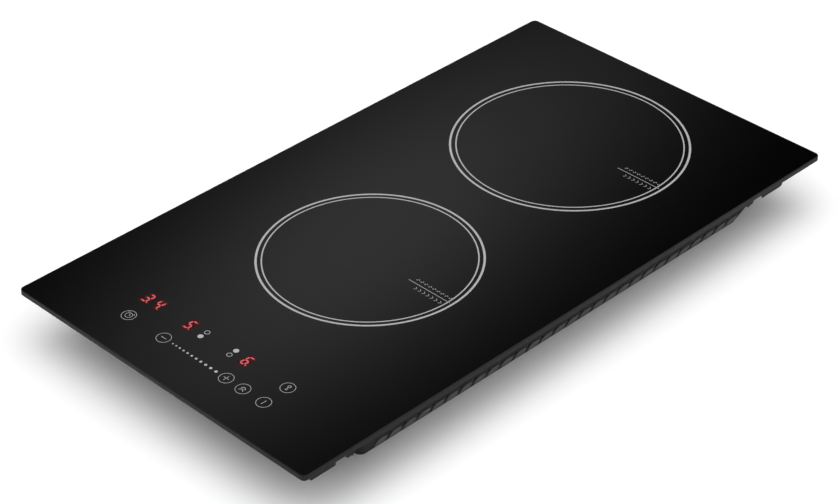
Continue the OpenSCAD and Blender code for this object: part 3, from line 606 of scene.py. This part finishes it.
def make_winding(zone, mat):
    """Flat spiral of stranded litz wire."""
    node = f"{zone}_coil_winding"
    low, high = box_mm(node)
    centre = (low + high) / 2
    wire = (high.z - low.z) / 2
    pitch, first = 3.5, 22.0
    turns = round(((high.x - low.x) / 2 - wire - first) / pitch)
    steps = 60
    path = []
    for i in range(turns * steps + 1):
        r, a = first + pitch * i / steps, 2 * pi * i / steps
        path.append((centre.x + r * cos(a), centre.y + r * sin(a), centre.z))
    bm = bmesh.new()
    tube(bm, path, wire * 0.93, 12, 6, 0.35, 0.28)
    piece(f"{zone}_litz_spiral", bm, mat, f"{zone}_coil", (node,))


def make_leads(zone, mat, crimp):
    """Sleeved pair from a winding down to the power board."""
    node = f"{zone}_coil_leads"
    bm = bmesh.new()
    caps = bmesh.new()
    for points in solids_mm(node):
        start, end = end_point(points, True), end_point(points, False)
        bend = []
        for i in range(6):
            k = (1 - cos(pi * i / 5)) / 2
            bend.append((start.x + (end.x - start.x) * k, start.y + (end.y - start.y) * k, 30 - 2.2 * i))
        path = smooth_path([start, (start.x, start.y, 38), *bend, (end.x, end.y, end.z + 1.6), end], 8)
        tube(bm, path, 1.7, 20, 5, 0.3, 0.16)
        turned(caps, end, [(0, 1.9), (0.3, 2.15), (3.2, 2.15), (3.5, 1.95)], 20)
    made = piece(f"{zone}_leads_sleeved", bm, mat, stands_for=(node,))
    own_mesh(made)
    piece(f"{zone}_lead_crimps", caps, crimp)


# ---- blower ----

def make_impeller(mat):
    """Radial impeller: a cup, a back disc, a ring and thirty curved blades."""
    low, high = box_mm("fan_impeller")
    centre = (low + high) / 2
    reach = (high.x - low.x) / 2
    at = (centre.x, centre.y, low.z)
    tall = high.z - low.z
    cup_low, disc_low, bore = 3.0, tall - 1.5, 1.5
    bm = bmesh.new()
    cup = [(cup_low, bore), (cup_low, 15.2), (cup_low + 0.8, 16), (disc_low - 0.6, 16), (disc_low, 16.6),
           (disc_low, reach), (tall - 0.4, reach), (tall, reach - 0.4), (tall, 15.2), (tall - 0.6, 14.5),
           (cup_low + 2.6, 14.5), (cup_low + 2, 13.9), (cup_low + 2, bore)]
    hoop = [(0.3, 31), (0, 31.3), (0, reach - 0.3), (0.3, reach), (1.2, reach), (1.5, reach - 0.3),
            (1.5, 31.3), (1.2, 31)]
    for profile in (cup, hoop):
        lathe(bm, at, profile, 72)
    blades, inner, outer = 30, 27.3, 35.2
    for i in range(blades):
        base = 2 * pi * i / blades
        line = []
        for k in range(7):
            t = k / 6
            r, a = inner + (outer - inner) * t, base + 0.17 * t * t - 0.02
            line.append((r, a, 0.55 * (1 - 0.5 * t)))
        both_sides = line + [(r, a, -w) for r, a, w in line[::-1]]
        outline = [(centre.x + r * cos(a) - w * sin(a), centre.y + r * sin(a) + w * cos(a))
                   for r, a, w in both_sides]
        prism(bm, outline, low.z + 1.3, low.z + disc_low + 0.2)
    piece("impeller_curved", bm, mat, "fan_rotor", ("fan_impeller",))


def make_motor(copper, iron, board):
    """Outer-rotor motor's stator: six wound poles round a bearing tube, on a small round board."""
    low, high = box_mm("fan_motor")
    centre = (low + high) / 2
    reach = (high.x - low.x) / 2
    bore = 1.56
    plate = bmesh.new()
    lathe(plate, (centre.x, centre.y, high.z), [(-1.6, bore), (-1.6, reach), (0, reach), (0, bore)], 48)
    piece("motor_board", plate, board, stands_for=("fan_motor",))
    core = bmesh.new()
    lathe(core, (centre.x, centre.y, low.z), [(0, bore), (0, 2.6), (0.3, 2.9), (2.5, 2.9), (2.5, 5), (9, 5),
                                              (9, 2.9), (12, 2.9), (12, bore)], 40)
    poles = 6
    wound = bmesh.new()
    for i in range(poles):
        turn = Matrix.Translation((centre.x, centre.y, low.z)) @ Matrix.Rotation(2 * pi * i / poles, 4, "Z")
        arm = bmesh.new()
        soft_box(arm, (4.6, -1.1, 2.6), (10.2, 1.1, 8.9), 0.1, 1)
        shoe = around(0, 0, reach - 0.3, 9, -0.42, 0.84, False)
        shoe += around(0, 0, reach - 1.7, 9, 0.42, -0.84, False)
        prism(arm, shoe, 2.6, 8.9)
        stamp(core, arm, turn)
        arm.free()
        coil = bmesh.new()
        for k in range(6):
            x = 5.9 + 0.72 * k
            half_y, half_z = 1.1 + 0.36, 3.15 + 0.36
            loop = [(x, half_y * cy, 5.75 + half_z * cz) for cy, cz in
                    ((1, 0), (1, 0.9), (0.8, 1), (-0.8, 1), (-1, 0.9), (-1, -0.9), (-0.8, -1), (0.8, -1),
                     (1, -0.9), (1, -0.05))]
            tube(coil, loop, 0.36, 8)
        stamp(wound, coil, turn)
        coil.free()
    piece("motor_core", core, iron)
    piece("motor_windings", wound, copper)


# ---- parts of the power board ----

def make_choke(copper, core, base):
    """Toroid with two windings on a round foot."""
    low, high = box_mm("filter_choke")
    centre = (low + high) / 2
    foot = bmesh.new()
    turned(foot, (centre.x, centre.y, low.z), [(0, 19.4), (0.4, 20), (2.2, 20), (2.6, 19.4)], 56)
    for k in range(3):
        a = 2 * pi * k / 3 + 0.5
        at = (centre.x + 17 * cos(a), centre.y + 17 * sin(a), low.z + 2.5)
        turned(foot, at, [(0, 1.2), (2.6, 1.0)], 16)
    piece("choke_foot", foot, base, stands_for=("filter_choke",))
    ring_r, tube_r, wire = 14.0, 5.3, 0.72
    mid = Vector((centre.x, centre.y, high.z - tube_r - 2 * wire))
    torus = bmesh.new()
    ring_path = [(mid.x + ring_r * cos(a), mid.y + ring_r * sin(a), mid.z)
                 for a in (2 * pi * k / 72 for k in range(73))]
    tube(torus, ring_path, tube_r - 0.15, 20)
    piece("choke_core", torus, core)
    wound = bmesh.new()
    for side in (0, pi):
        turns, sweep, steps = 19, radians(146), 16
        path = []
        for i in range(turns * steps + 1):
            a = side - sweep / 2 + sweep * i / (turns * steps)
            b = 2 * pi * i / steps
            r = ring_r + (tube_r + wire) * cos(b)
            path.append((mid.x + r * cos(a), mid.y + r * sin(a), mid.z + (tube_r + wire) * sin(b)))
        tube(wound, path, wire, 7)
    piece("choke_windings", wound, copper)


def make_box_capacitors(node, shell, resin):
    """Moulded film capacitors with soft edges, and the rim of their potting resin at the foot."""
    case, fill = bmesh.new(), bmesh.new()
    for low, high, _ in solid_boxes(node):
        soft_box(case, (low.x, low.y, low.z + 0.6), high, 0.9, 3)
        soft_box(fill, (low.x + 0.9, low.y + 0.9, low.z), (high.x - 0.9, high.y - 0.9, low.z + 1.2), 0.2, 1)
    piece(node + "_moulded", case, shell, stands_for=(node,))
    piece(node + "_resin", fill, resin)


def make_cans(sleeve, metal):
    """Electrolytic capacitors: a crimped sleeve, and a bare top with a raised vent cross."""
    tubes, tops = bmesh.new(), bmesh.new()
    for low, high, centre in solid_boxes("electrolytic_capacitors"):
        r, h = (high.x - low.x) / 2, high.z - low.z
        turned(tubes, (centre.x, centre.y, low.z),
               [(0, r * 0.86), (0.5, r), (1.6, r), (2.2, r - 0.7), (3.0, r - 0.7), (3.6, r), (h - 1, r),
                (h - 0.3, r - 0.25), (h - 0.1, r - 0.9)], 40)
        turned(tops, (centre.x, centre.y, high.z), [(-1, r - 1.2), (-0.3, r - 1.2), (-0.15, r - 1.5)], 40)
        for a in (0, pi / 2):
            reach = Vector((0.16 + (r - 2.4) * cos(a), 0.16 + (r - 2.4) * sin(a), 0))
            soft_box(tops, (centre.x - reach.x, centre.y - reach.y, high.z - 0.3),
                     (centre.x + reach.x, centre.y + reach.y, high.z), 0.04, 1)
    piece("capacitor_sleeves", tubes, sleeve, stands_for=("electrolytic_capacitors",))
    piece("capacitor_tops", tops, metal, smooth=False)


def make_packages(node, leg, body):
    """Flat power packages against the heatsink: epoxy body with a screw hole and three legs."""
    bodies, legs = bmesh.new(), bmesh.new()
    leg_h, leg_gap = 3.0, 5.4
    for low, high, centre in solid_boxes(node):
        block, hole = bmesh.new(), bmesh.new()
        soft_box(block, (low.x, low.y, low.z + leg_h), high, 0.5, 2)
        turned(hole, (low.x - 1, centre.y, high.z - 4.2), [(0, 1.7), (high.x - low.x - 0.6, 1.7)], 24, "x")
        shape = carved(block, hole)
        stamp(bodies, shape, Matrix())
        shape.free()
        for k in (-1, 0, 1):
            y, leg_top = centre.y + leg_gap * k, low.z + leg_h + 0.4
            soft_box(legs, (high.x - 3, y - 0.6, low.z), (high.x - 2.2, y + 0.6, leg_top), 0.1, 1)
            soft_box(legs, (high.x - 3.1, y - 0.9, low.z + 2.1), (high.x - 2.1, y + 0.9, leg_top), 0.1, 1)
    piece(node + "_bodies", bodies, body, stands_for=(node,), smooth=False)
    piece(node + "_legs", legs, leg, smooth=False)


def make_relay(case):
    low, high = box_mm("mains_relay")
    bm = bmesh.new()
    soft_box(bm, (low.x, low.y, low.z + 0.5), high, 1.1, 4)
    soft_box(bm, (low.x + 0.8, low.y + 0.8, low.z), (high.x - 0.8, high.y - 0.8, low.z + 1.2), 0.2, 1)
    turned(bm, (low.x + 3, high.y - 3, high.z - 0.1), [(0, 0.9), (0.1, 0.8)], 16)
    piece("relay_case", bm, case, stands_for=("mains_relay",))


def make_transformer(tape, iron, bobbin):
    """Small transformer: stacked iron, a bobbin and a taped winding."""
    low, high = box_mm("standby_transformer")
    core, former, wound = bmesh.new(), bmesh.new(), bmesh.new()
    layers = 14
    for k in range(layers):
        y = low.y + 5.2 + (high.y - low.y - 10.4) * k / layers
        soft_box(core, (low.x, y, low.z + 1.5), (high.x, y + 0.62, high.z - 0.4), 0.08, 1)
    soft_box(former, (low.x + 2.2, low.y, low.z), (high.x - 2.2, low.y + 2, high.z), 0.5, 2)
    soft_box(former, (low.x + 2.2, high.y - 2, low.z), (high.x - 2.2, high.y, high.z), 0.5, 2)
    inset = Vector((3.2, 1.8, 1.8))
    soft_box(wound, low + inset, high - inset + Vector((0, 0, 0.2)), 1.6, 4)
    piece("transformer_core", core, iron, stands_for=("standby_transformer",), smooth=False)
    piece("transformer_bobbin", former, bobbin)
    piece("transformer_winding", wound, tape)


def make_fuse(ceramic, metal):
    """Ceramic tube with metal caps in two spring clips."""
    low, high = box_mm("mains_fuse")
    y = (low.y + high.y) / 2
    z, r = high.z - 3.5, 2.5
    body, caps = bmesh.new(), bmesh.new()
    turned(body, (low.x + 5, y, z), [(0, r * 0.92), (high.x - low.x - 10, r * 0.92)], 32, "x")
    for x0, x1 in ((low.x, low.x + 5), (high.x - 5, high.x)):
        turned(caps, (x0, y, z), [(0, r * 0.86), (0.4, r), (x1 - x0 - 0.3, r), (x1 - x0, r * 0.93)], 32, "x")
        for side in (-1, 1):
            wall = [(y + side * 3.3, low.z), (y + side * 3.3, z + 0.6), (y + side * 2.75, z + 2.2),
                    (y + side * 3.4, high.z), (y + side * 3.1, high.z), (y + side * 2.45, z + 2.2),
                    (y + side * 2.9, z + 0.4), (y + side * 2.7, low.z)]
            skin(caps, [[caps.verts.new((x, *p)) for p in wall] for x in (x0 + 0.9, x1 - 0.9)])
    piece("fuse_tube", body, ceramic, stands_for=("mains_fuse",))
    piece("fuse_clips", caps, metal)


def make_ribbon(cover, plug):
    """Flat cable of sixteen cores side by side, and the socket on the power board."""
    low, high = box_mm("ribbon_cable")
    y = (-202.5, -198.5, -193, -187.5, -184.3, -178, -172, -167, -161.9)
    z = (42.4, 42.4, 43.2, 41, 33, 20, 13, 11, 11)
    cores, pitch = 16, 0.98
    first = (low.x + high.x - (cores - 1) * pitch) / 2
    bm = bmesh.new()
    for k in range(cores):
        tube(bm, smooth_path([(first + k * pitch, a, b) for a, b in zip(y, z)], 4), 0.52, 8)
    piece("ribbon_cores", bm, cover, stands_for=("ribbon_cable",))
    socket = bmesh.new()
    soft_box(socket, (low.x, y[-1], low.z), (high.x, high.y, low.z + 7), 0.4, 2)
    piece("ribbon_socket", socket, plug)


def make_wires(covers):
    """Three mains cores from the terminal block to the tabs on the power board."""
    top = box_mm("mains_wires")[0].z
    for k, mat in zip((-1, 0, 1), covers):
        block, tab = 10.5 * k - 53, 8 * k - 62
        path = [(block, 179.9, 17), (block, 172, 17.5), (6 * k - 50, 163, 19), (6 * k - 50, 155, 19),
                (6.5 * k - 52, 138, 18), (7 * k - 58, 118, 18), (tab, 102, 19.2), (tab, 95, 19.2),
                (tab, 90.6, 17.6), (tab, 90, top + 1.5), (tab, 90, top)]
        bm = bmesh.new()
        tube(bm, smooth_path(path, 6), 1.25, 14)
        piece(mat.name, bm, mat, stands_for=("mains_wires",))


def make_gland(mat):
    """Rubber bush with a rounded flange and rings along its sleeve."""
    low, high = box_mm("cable_gland")
    centre = (low + high) / 2
    flange_r, sleeve_r, bore = (high.x - low.x) / 2, 8.0, 5.0
    long = high.y - low.y
    profile = [(0, bore + 0.5), (0, sleeve_r - 0.6), (0.6, sleeve_r)]
    for k in range(5):
        at = 2.2 + 3.3 * k
        profile += [(at + rise, sleeve_r - sunk) for rise, sunk in ((0, 0), (0.3, 0.5), (1.0, 0.5), (1.3, 0))]
    profile += [(long - 2.5, sleeve_r), (long - 2.5, flange_r - 0.7), (long - 2.3, flange_r - 0.15),
                (long - 1.6, flange_r), (long - 0.8, flange_r - 0.3), (long - 0.2, flange_r - 1.4),
                (long, bore + 1.6), (long - 0.3, bore + 0.4), (long - 1.2, bore), (0.5, bore)]
    bm = bmesh.new()
    lathe(bm, (centre.x, low.y, centre.z), profile, 64, "y")
    piece("gland_ribbed", bm, mat, stands_for=("cable_gland",))


# ---- printed marks on the glass ----

INK_LOW, INK_HIGH = TOP - 0.01, TOP + 0.03
KEY_ROW = 33.4
DIGIT_ROW = 55.5
KEY_R = 5.4
LINE = 0.4
# The zones are printed a little off their coils
PRINT_SHIFT = Vector((0.85, -0.3, 0))
# Sideways place of each lit digit, and its value
DIGITS = ((-71.6, 3), (-60.6, 4), (-27.9, 5), (29.4, 6))


def print_ring(bm, x, y, outer, width, sides=64):
    ring(bm, x, y, outer, width, INK_LOW, INK_HIGH, sides)


def print_line(bm, points, width=LINE):
    for a, b in zip(points, points[1:]):
        stroke(bm, a, b, width, INK_LOW, INK_HIGH)


def zone_print(name, winding, outer, inner, ink):
    """Double ring round a coil, with a thin rule and two rows of plain signs on its right."""
    centre = middle(winding) + PRINT_SHIFT
    bm = bmesh.new()
    print_ring(bm, centre.x, centre.y, outer, 1.6, 192)
    print_ring(bm, centre.x, centre.y, inner, 1.0, 192)
    rule_end = outer - 3.2
    rule_start = rule_end - 39.5
    print_line(bm, [(centre.x + rule_start, centre.y + 0.4), (centre.x + rule_end, centre.y + 0.4)], 0.4)
    for k in range(9):  # waves above the rule
        x = centre.x + rule_end - 34.5 + 3.9 * k
        y = centre.y + 4.5
        print_line(bm, [(x + 1.1 * t, y + 1.1 * sin(pi * t)) for t in (-1, -0.5, 0, 0.5, 1)], 0.34)
    for k in range(7):  # chevrons below it
        x = centre.x + rule_end - 28.5 + 3.9 * k
        y = centre.y - 3.8
        print_line(bm, [(x - 0.8, y - 1.4), (x + 0.8, y), (x - 0.8, y + 1.4)], 0.34)
    return piece(name, bm, ink, smooth=False)


def key_print(ink):
    """Rings and signs of the touch keys."""
    row = FRONT + KEY_ROW
    keys = {"timer": (-65.9, row), "minus": (-29.5, row), "plus": (33.6, row), "boost": (50.0, row),
            "power": (70.1, row), "lock": (70.0, FRONT + 54.7)}
    bm = bmesh.new()
    for x, y in keys.values():
        print_ring(bm, x, y, KEY_R, 0.34, 48)
    x, y = keys["timer"]
    print_ring(bm, x, y, 2.8, 0.34, 32)
    print_line(bm, [(x, y + 1.5), (x, y), (x + 1.1, y)], 0.34)
    for side in (-1, 1):
        print_line(bm, [(x + side * 1.8, y + 3.3), (x + side * 3.1, y + 2.2)], 0.34)
    x, y = keys["minus"]
    print_line(bm, [(x - 2.4, y), (x + 2.4, y)])
    x, y = keys["plus"]
    print_line(bm, [(x - 2.4, y), (x + 2.4, y)])
    print_line(bm, [(x, y - 2.4), (x, y + 2.4)])
    x, y = keys["boost"]
    for lift in (-1.9, 0.3):
        print_line(bm, [(x - 1.8, y + lift), (x, y + lift + 1.7), (x + 1.8, y + lift)], 0.5)
    x, y = keys["power"]
    print_line(bm, [(x, y - 2.2), (x, y + 2.2)])
    x, y = keys["lock"]
    print_ring(bm, x, y + 1.5, 1.3, 0.42, 20)
    print_line(bm, [(x, y + 0.3), (x, y - 2.6)], 0.45)
    for drop in (1.2, 2.4):
        print_line(bm, [(x, y - drop), (x + 1.2, y - drop)], 0.34)
    return piece("key_print", bm, ink, smooth=False)


def slider_print(ink):
    """Row of dots between minus and plus, growing in size and spacing, and the zone marks above it."""
    row = FRONT + KEY_ROW
    bm = bmesh.new()
    for i in range(11):
        x = -20 + 3.3 * i + 0.105 * i * i
        prism(bm, around(x, row, 0.65 + 0.055 * i, 20), INK_LOW, INK_HIGH)
    for x, near in ((-13.15, 1), (16.0, 0)):
        for k, y in enumerate((FRONT + 51.7, FRONT + 57.7)):
            if (k == 0) == bool(near):
                prism(bm, around(x, y, 2.1, 28), INK_LOW, INK_HIGH)
            else:
                print_ring(bm, x, y, 2.1, 0.45, 32)
    return piece("slider_print", bm, ink, smooth=False)


# Which of the segments a (top) to g (middle) each figure lights
LIT = {3: "abcdg", 4: "bcfg", 5: "acdfg", 6: "acdefg"}
SEGMENTS = {"a": ((0, 1), (1, 1)), "b": ((1, 1), (1, 0.5)), "c": ((1, 0.5), (1, 0)), "d": ((0, 0), (1, 0)),
            "e": ((0, 0.5), (0, 0)), "f": ((0, 1), (0, 0.5)), "g": ((0, 0.5), (1, 0.5))}


def figure_place(x, u, v):
    """Point of a slanted figure centred on x: u and v run from 0 to 1 across and up it."""
    width, height, slant = 4.0, 8.5, tan(radians(9))
    h = (v - 0.5) * height
    return x + (u - 0.5) * width + slant * h, FRONT + DIGIT_ROW + h


def lit_digit(x, figure, glow):
    """Seven-segment figure and its point, lit."""
    half, gap = 0.56, 0.3
    bm = bmesh.new()
    for letter in LIT[figure]:
        (ax, ay), (bx, by) = (figure_place(x, u, v) for u, v in SEGMENTS[letter])
        long = hypot(bx - ax, by - ay)
        dx, dy = (bx - ax) / long, (by - ay) / long
        along = [(gap, 0), (gap + half, half), (long - gap - half, half), (long - gap, 0),
                 (long - gap - half, -half), (gap + half, -half)]
        prism(bm, [(ax + dx * s - dy * t, ay + dy * s + dx * t) for s, t in along], INK_LOW, INK_HIGH)
    px, py = figure_place(x, 1, 0)
    prism(bm, around(px + 1.5, py, 0.55, 16), INK_LOW, INK_HIGH)
    return piece(f"lit_digit_{figure}", bm, glow, smooth=False)


def digit_halo(x, figure, width, height, mat, name):
    """Painted glow: a thin glowing layer over the glass round a figure's segments, standing in for the dim
    red light that spreads from them inside the glass.
    """
    bm = bmesh.new()
    for letter in LIT[figure]:
        stroke(bm, *(figure_place(x, u, v) for u, v in SEGMENTS[letter]), width, INK_LOW, TOP + height)
    px, py = figure_place(x, 1, 0)
    prism(bm, around(px + 1.5, py, width * 0.5, 16), INK_LOW, TOP + height)
    return piece(f"{name}_{figure}", bm, mat, smooth=False)


def make_marks():
    ink = surface("printed_grey", (0.35, 0.35, 0.35), 0.55, vary=0.08, patch=4, grain=0.3, bump=0.002)
    zone_print("front_zone_print", "front_coil_winding", 80.7, 76.4, ink)
    zone_print("rear_zone_print", "rear_coil_winding", 89.9, 85.2, ink)
    key_print(ink)
    slider_print(ink)
    glow = shining("lit_red", (0.44, 0.115, 0.12))
    # Painted glow round the lit digits: a brighter narrow halo and a dimmer wide one
    near = shining("painted_near_glow", (0.13, 0.0, 0.004))
    far = shining("painted_far_glow", (0.035, 0.002, 0.003))
    for x, figure in DIGITS:
        lit_digit(x, figure, glow)
        digit_halo(x, figure, 2.0, 0.015, near, "painted_near_glow")
        digit_halo(x, figure, 3.2, 0.006, far, "painted_far_glow")


# ---- the object's materials and what wears them ----

def circuit_board(name):
    """Green solder mask over straight raised tracks."""
    mat, tree, shader, coords = blank_material(name)
    tracks = tree.nodes.new("ShaderNodeTexBrick")
    tracks.offset = 0.37
    feed(tree, tracks, Vector=coords, Scale=1 / MM, Brick_Width=9.0, Row_Height=2.3, Mortar_Size=0.3,
         Mortar_Smooth=0.3)
    blotch = spread(tree, noise(tree, coords, 20, 3.0), 0, 1)
    mask = blend_colours(tree, blotch, (0.01, 0.075, 0.028), (0.014, 0.095, 0.034))
    lines = tracks.outputs["Fac"]
    feed(tree, shader, Base_Color=blend_colours(tree, lines, mask, (0.03, 0.16, 0.055)),
         Roughness=spread(tree, noise(tree, coords, 5, 3.0), 0.22, 0.36))
    relief(tree, shader, lines, 0.035, 0.1)
    return mat


def tray_skin():
    """Black plastic with painted light and shade: its raised wall panels are coloured lighter than the walls,
    standing in for the light they catch while the glass overhang shades the wall above them.
    """
    # Half width of the tray at its foot, what it gains with height, what the panels stand proud, and the
    # height under which they are painted lighter
    wall_foot, wall_slope, proud, panel_top = 104.3, 0.449, 0.2, 11.0
    mat = plastic("tray_plastic", (0.013, 0.0132, 0.0138), grain=0.45, bump=0.02, Specular_IOR_Level=0.12)
    tree, shader, coords = nodes_of(mat)
    place = tree.nodes.new("ShaderNodeSeparateXYZ")
    feed(tree, place, Vector=coords)
    x, _, z = place.outputs
    wall = math_node(tree, "ADD", times(tree, z, wall_slope), (wall_foot + proud) * MM)
    raised = math_node(tree, "GREATER_THAN", math_node(tree, "ABSOLUTE", x), wall)
    painted_lit_panels = times(tree, raised, math_node(tree, "LESS_THAN", z, panel_top * MM))
    body = shader.inputs["Base Color"].links[0].from_socket
    # Painted light: the raised panels below panel_top take a far lighter colour than the wall, which stays
    # dark as painted shade
    feed(tree, shader, Base_Color=blend_colours(tree, painted_lit_panels, body, (0.115, 0.116, 0.12)))
    return mat


def make_materials():
    """Every material of the object, by name."""
    dark = (0.02, 0.02, 0.0215)
    return {
        "glass": glass_ceramic(),
        "ground": surface("ground_edge", (0.011, 0.0112, 0.0118), 0.45, patch=6, grain=0.25, bump=0.01,
                          Specular_IOR_Level=0.1),
        "seal": surface("seal_foam", (0.03, 0.03, 0.031), 0.85, grain=0.4, bump=0.06),
        "bond": surface("silicone", dark, 0.4, grain=2, bump=0.06),
        "frame": surface("frame_coat", (0.011, 0.0112, 0.0118), 0.5, vary=0.12, grain=0.7, bump=0.02,
                         edge=0.3, Specular_IOR_Level=0.1),
        "tray": tray_skin(),
        "housing": plastic("housing_plastic", dark, 0.45),
        "board": circuit_board("board_green"),
        "brass": steel("contact_brass", (0.72, 0.52, 0.22), 0.28),
        "display": plastic("display_face", (0.03, 0.03, 0.032), 0.35, grain=0.2),
        "lamp": plastic("lamp_clear", (0.72, 0.75, 0.78), 0.15, vary=0.05, Transmission_Weight=0.5, IOR=1.5),
        "buzzer": plastic("buzzer_black", dark, 0.4, patch=4),
        "ribbon": plastic("ribbon_grey", (0.42, 0.43, 0.44), 0.42, patch=6, grain=0.6),
        "socket": plastic("socket_ivory", (0.72, 0.69, 0.6), 0.4),
        "deck": steel("deck_aluminium", (0.66, 0.67, 0.69), 0.34, grain=0.5, stretch=(1, 0.04, 1)),
        "zinc": steel("screw_zinc", (0.56, 0.57, 0.58), 0.3, patch=2),
        "steel": steel("shaft_steel", (0.6, 0.6, 0.61), 0.16, stretch=(1, 1, 0.05)),
        "carrier": plastic("carrier_plastic", (0.035, 0.036, 0.039), 0.5, grain=0.3, bump=0.02),
        "litz": steel("litz_copper", (0.62, 0.29, 0.13), 0.36, patch=5, vary=0.22, grain=0.25, bump=0.03,
                      edge=0),
        "ferrite": surface("ferrite_grey", (0.045, 0.046, 0.05), 0.5, metal=0.2, patch=3, bump=0.04,
                           edge=0.5),
        "mica": surface("insulation_mica", (0.66, 0.61, 0.5), 0.5, vary=0.12, patch=4, grain=0.5, bump=0.03),
        "sensor": plastic("sensor_white", (0.74, 0.71, 0.64), 0.35, patch=5),
        "spring": steel("spring_steel", (0.5, 0.51, 0.53), 0.26, patch=3, edge=0),
        "sleeve": plastic("lead_sleeve", (0.42, 0.1, 0.05), 0.55, patch=4, grain=0.3, bump=0.05, edge=0),
        "sink": steel("heatsink_aluminium", (0.62, 0.63, 0.65), 0.38, grain=0.4, bump=0.008,
                      stretch=(1, 0.03, 1)),
        "epoxy": plastic("package_black", (0.016, 0.016, 0.017), 0.5, grain=0.15),
        "blue": plastic("capacitor_blue", (0.03, 0.09, 0.26), 0.3, patch=9),
        "yellow": plastic("capacitor_yellow", (0.62, 0.42, 0.06), 0.32, patch=9),
        "can": plastic("capacitor_sleeve", (0.014, 0.02, 0.035), 0.25, patch=5, edge=0),
        "enamel": steel("choke_copper", (0.5, 0.17, 0.06), 0.24, patch=3, vary=0.15, edge=0),
        "tape": plastic("transformer_tape", (0.62, 0.47, 0.12), 0.28, grain=1.2, bump=0.03,
                        stretch=(1, 1, 6)),
        "relay": plastic("relay_case", (0.02, 0.024, 0.03), 0.3, patch=8),
        "ceramic": plastic("fuse_ceramic", (0.76, 0.74, 0.68), 0.3, patch=4),
        "fan": plastic("fan_plastic", (0.022, 0.022, 0.024), 0.42, grain=0.3),
        "motor": steel("motor_copper", (0.66, 0.33, 0.14), 0.25, patch=2, edge=0),
        "box": plastic("box_plastic", (0.6, 0.6, 0.57), 0.42, patch=25, vary=0.05),
        "block": plastic("block_plastic", (0.74, 0.73, 0.69), 0.4, patch=12, vary=0.05),
        "cover": plastic("cover_plastic", (0.021, 0.0213, 0.0222), grain=0.45, bump=0.02,
                         Specular_IOR_Level=0.35),
        "rubber": plastic("gland_rubber", (0.014, 0.014, 0.0145), 0.62, patch=4, grain=0.25, bump=0.02,
                          edge=0),
        "clamp": steel("clamp_zinc", (0.52, 0.53, 0.55), 0.36, patch=7, vary=0.18, edge=0.35),
        "brown": plastic("core_brown", (0.13, 0.05, 0.02), 0.35, patch=6, edge=0),
        "blue_core": plastic("core_blue", (0.02, 0.09, 0.3), 0.35, patch=6, edge=0),
        "green_core": plastic("core_green", (0.14, 0.32, 0.03), 0.35, patch=6, edge=0),
    }


WORN = {
    "glass": "glass_plate", "seal": "glass_seal", "bond": "glass_bond", "frame": "mounting_frame",
    "tray": "bottom_tray", "housing": "control_housing", "board": "touch_board power_board",
    "display": "timer_display front_zone_display rear_zone_display", "lamp": "indicator_lamps",
    "buzzer": "buzzer", "deck": "coil_deck", "zinc": "coil_guide_pins",
    "carrier": "front_coil_carrier rear_coil_carrier", "ferrite": "front_coil_ferrites rear_coil_ferrites",
    "mica": "front_coil_insulation rear_coil_insulation", "sensor": "front_temp_sensor rear_temp_sensor",
    "sink": "heatsink", "fan": "fan_housing", "steel": "fan_shaft", "box": "terminal_box cable_clamp",
    "block": "terminal_block", "brass": "terminal_screws", "cover": "terminal_cover",
    "clamp": "clamp_front_left clamp_front_right clamp_rear_left clamp_rear_right",
}


def paint_nodes(mats):
    """Gives the CAD nodes that show their materials; the others get a plain dark one under their pieces."""
    worn = {node: name for name, nodes in WORN.items() for node in nodes.split()}
    for name, node in NODES.items():
        node.data.materials.clear()
        node.data.materials.append(mats[worn.get(name, "housing")])


def make_pieces(mats):
    """Detailed pieces in place of the plain CAD ones."""
    make_glass(mats["glass"], mats["ground"])
    for node, head_h, shank_r, head_low in (
            ("deck_screws", 2.0, 1.5, False), ("base_screws", 2.0, 1.5, False),
            ("frame_screws", 2.2, 1.5, True), ("clamp_screws", 3.2, 2.5, True)):
        make_screws(node, head_h, shank_r, head_low, mats["zinc"])
    make_touch_springs(mats["brass"])
    for zone in ("front", "rear"):
        make_coil_springs(zone, mats["spring"])
        make_winding(zone, mats["litz"])
        make_leads(zone, mats["sleeve"], mats["brass"])
    make_impeller(mats["fan"])
    make_motor(mats["motor"], mats["ferrite"], mats["board"])
    make_choke(mats["enamel"], mats["ferrite"], mats["relay"])
    make_box_capacitors("resonant_capacitors", mats["blue"], mats["epoxy"])
    make_box_capacitors("filter_capacitors", mats["yellow"], mats["epoxy"])
    make_cans(mats["can"], mats["deck"])
    make_packages("power_transistors", mats["zinc"], mats["epoxy"])
    make_packages("bridge_rectifier", mats["zinc"], mats["epoxy"])
    make_relay(mats["relay"])
    make_transformer(mats["tape"], mats["ferrite"], mats["relay"])
    make_fuse(mats["ceramic"], mats["zinc"])
    make_ribbon(mats["ribbon"], mats["socket"])
    make_wires([mats[name] for name in ("brown", "blue_core", "green_core")])
    make_gland(mats["rubber"])


make_camera()
make_studio()
make_floor()
make_marks()
materials = make_materials()
paint_nodes(materials)
make_pieces(materials)
bpy.context.scene.view_settings.view_transform = "Standard"
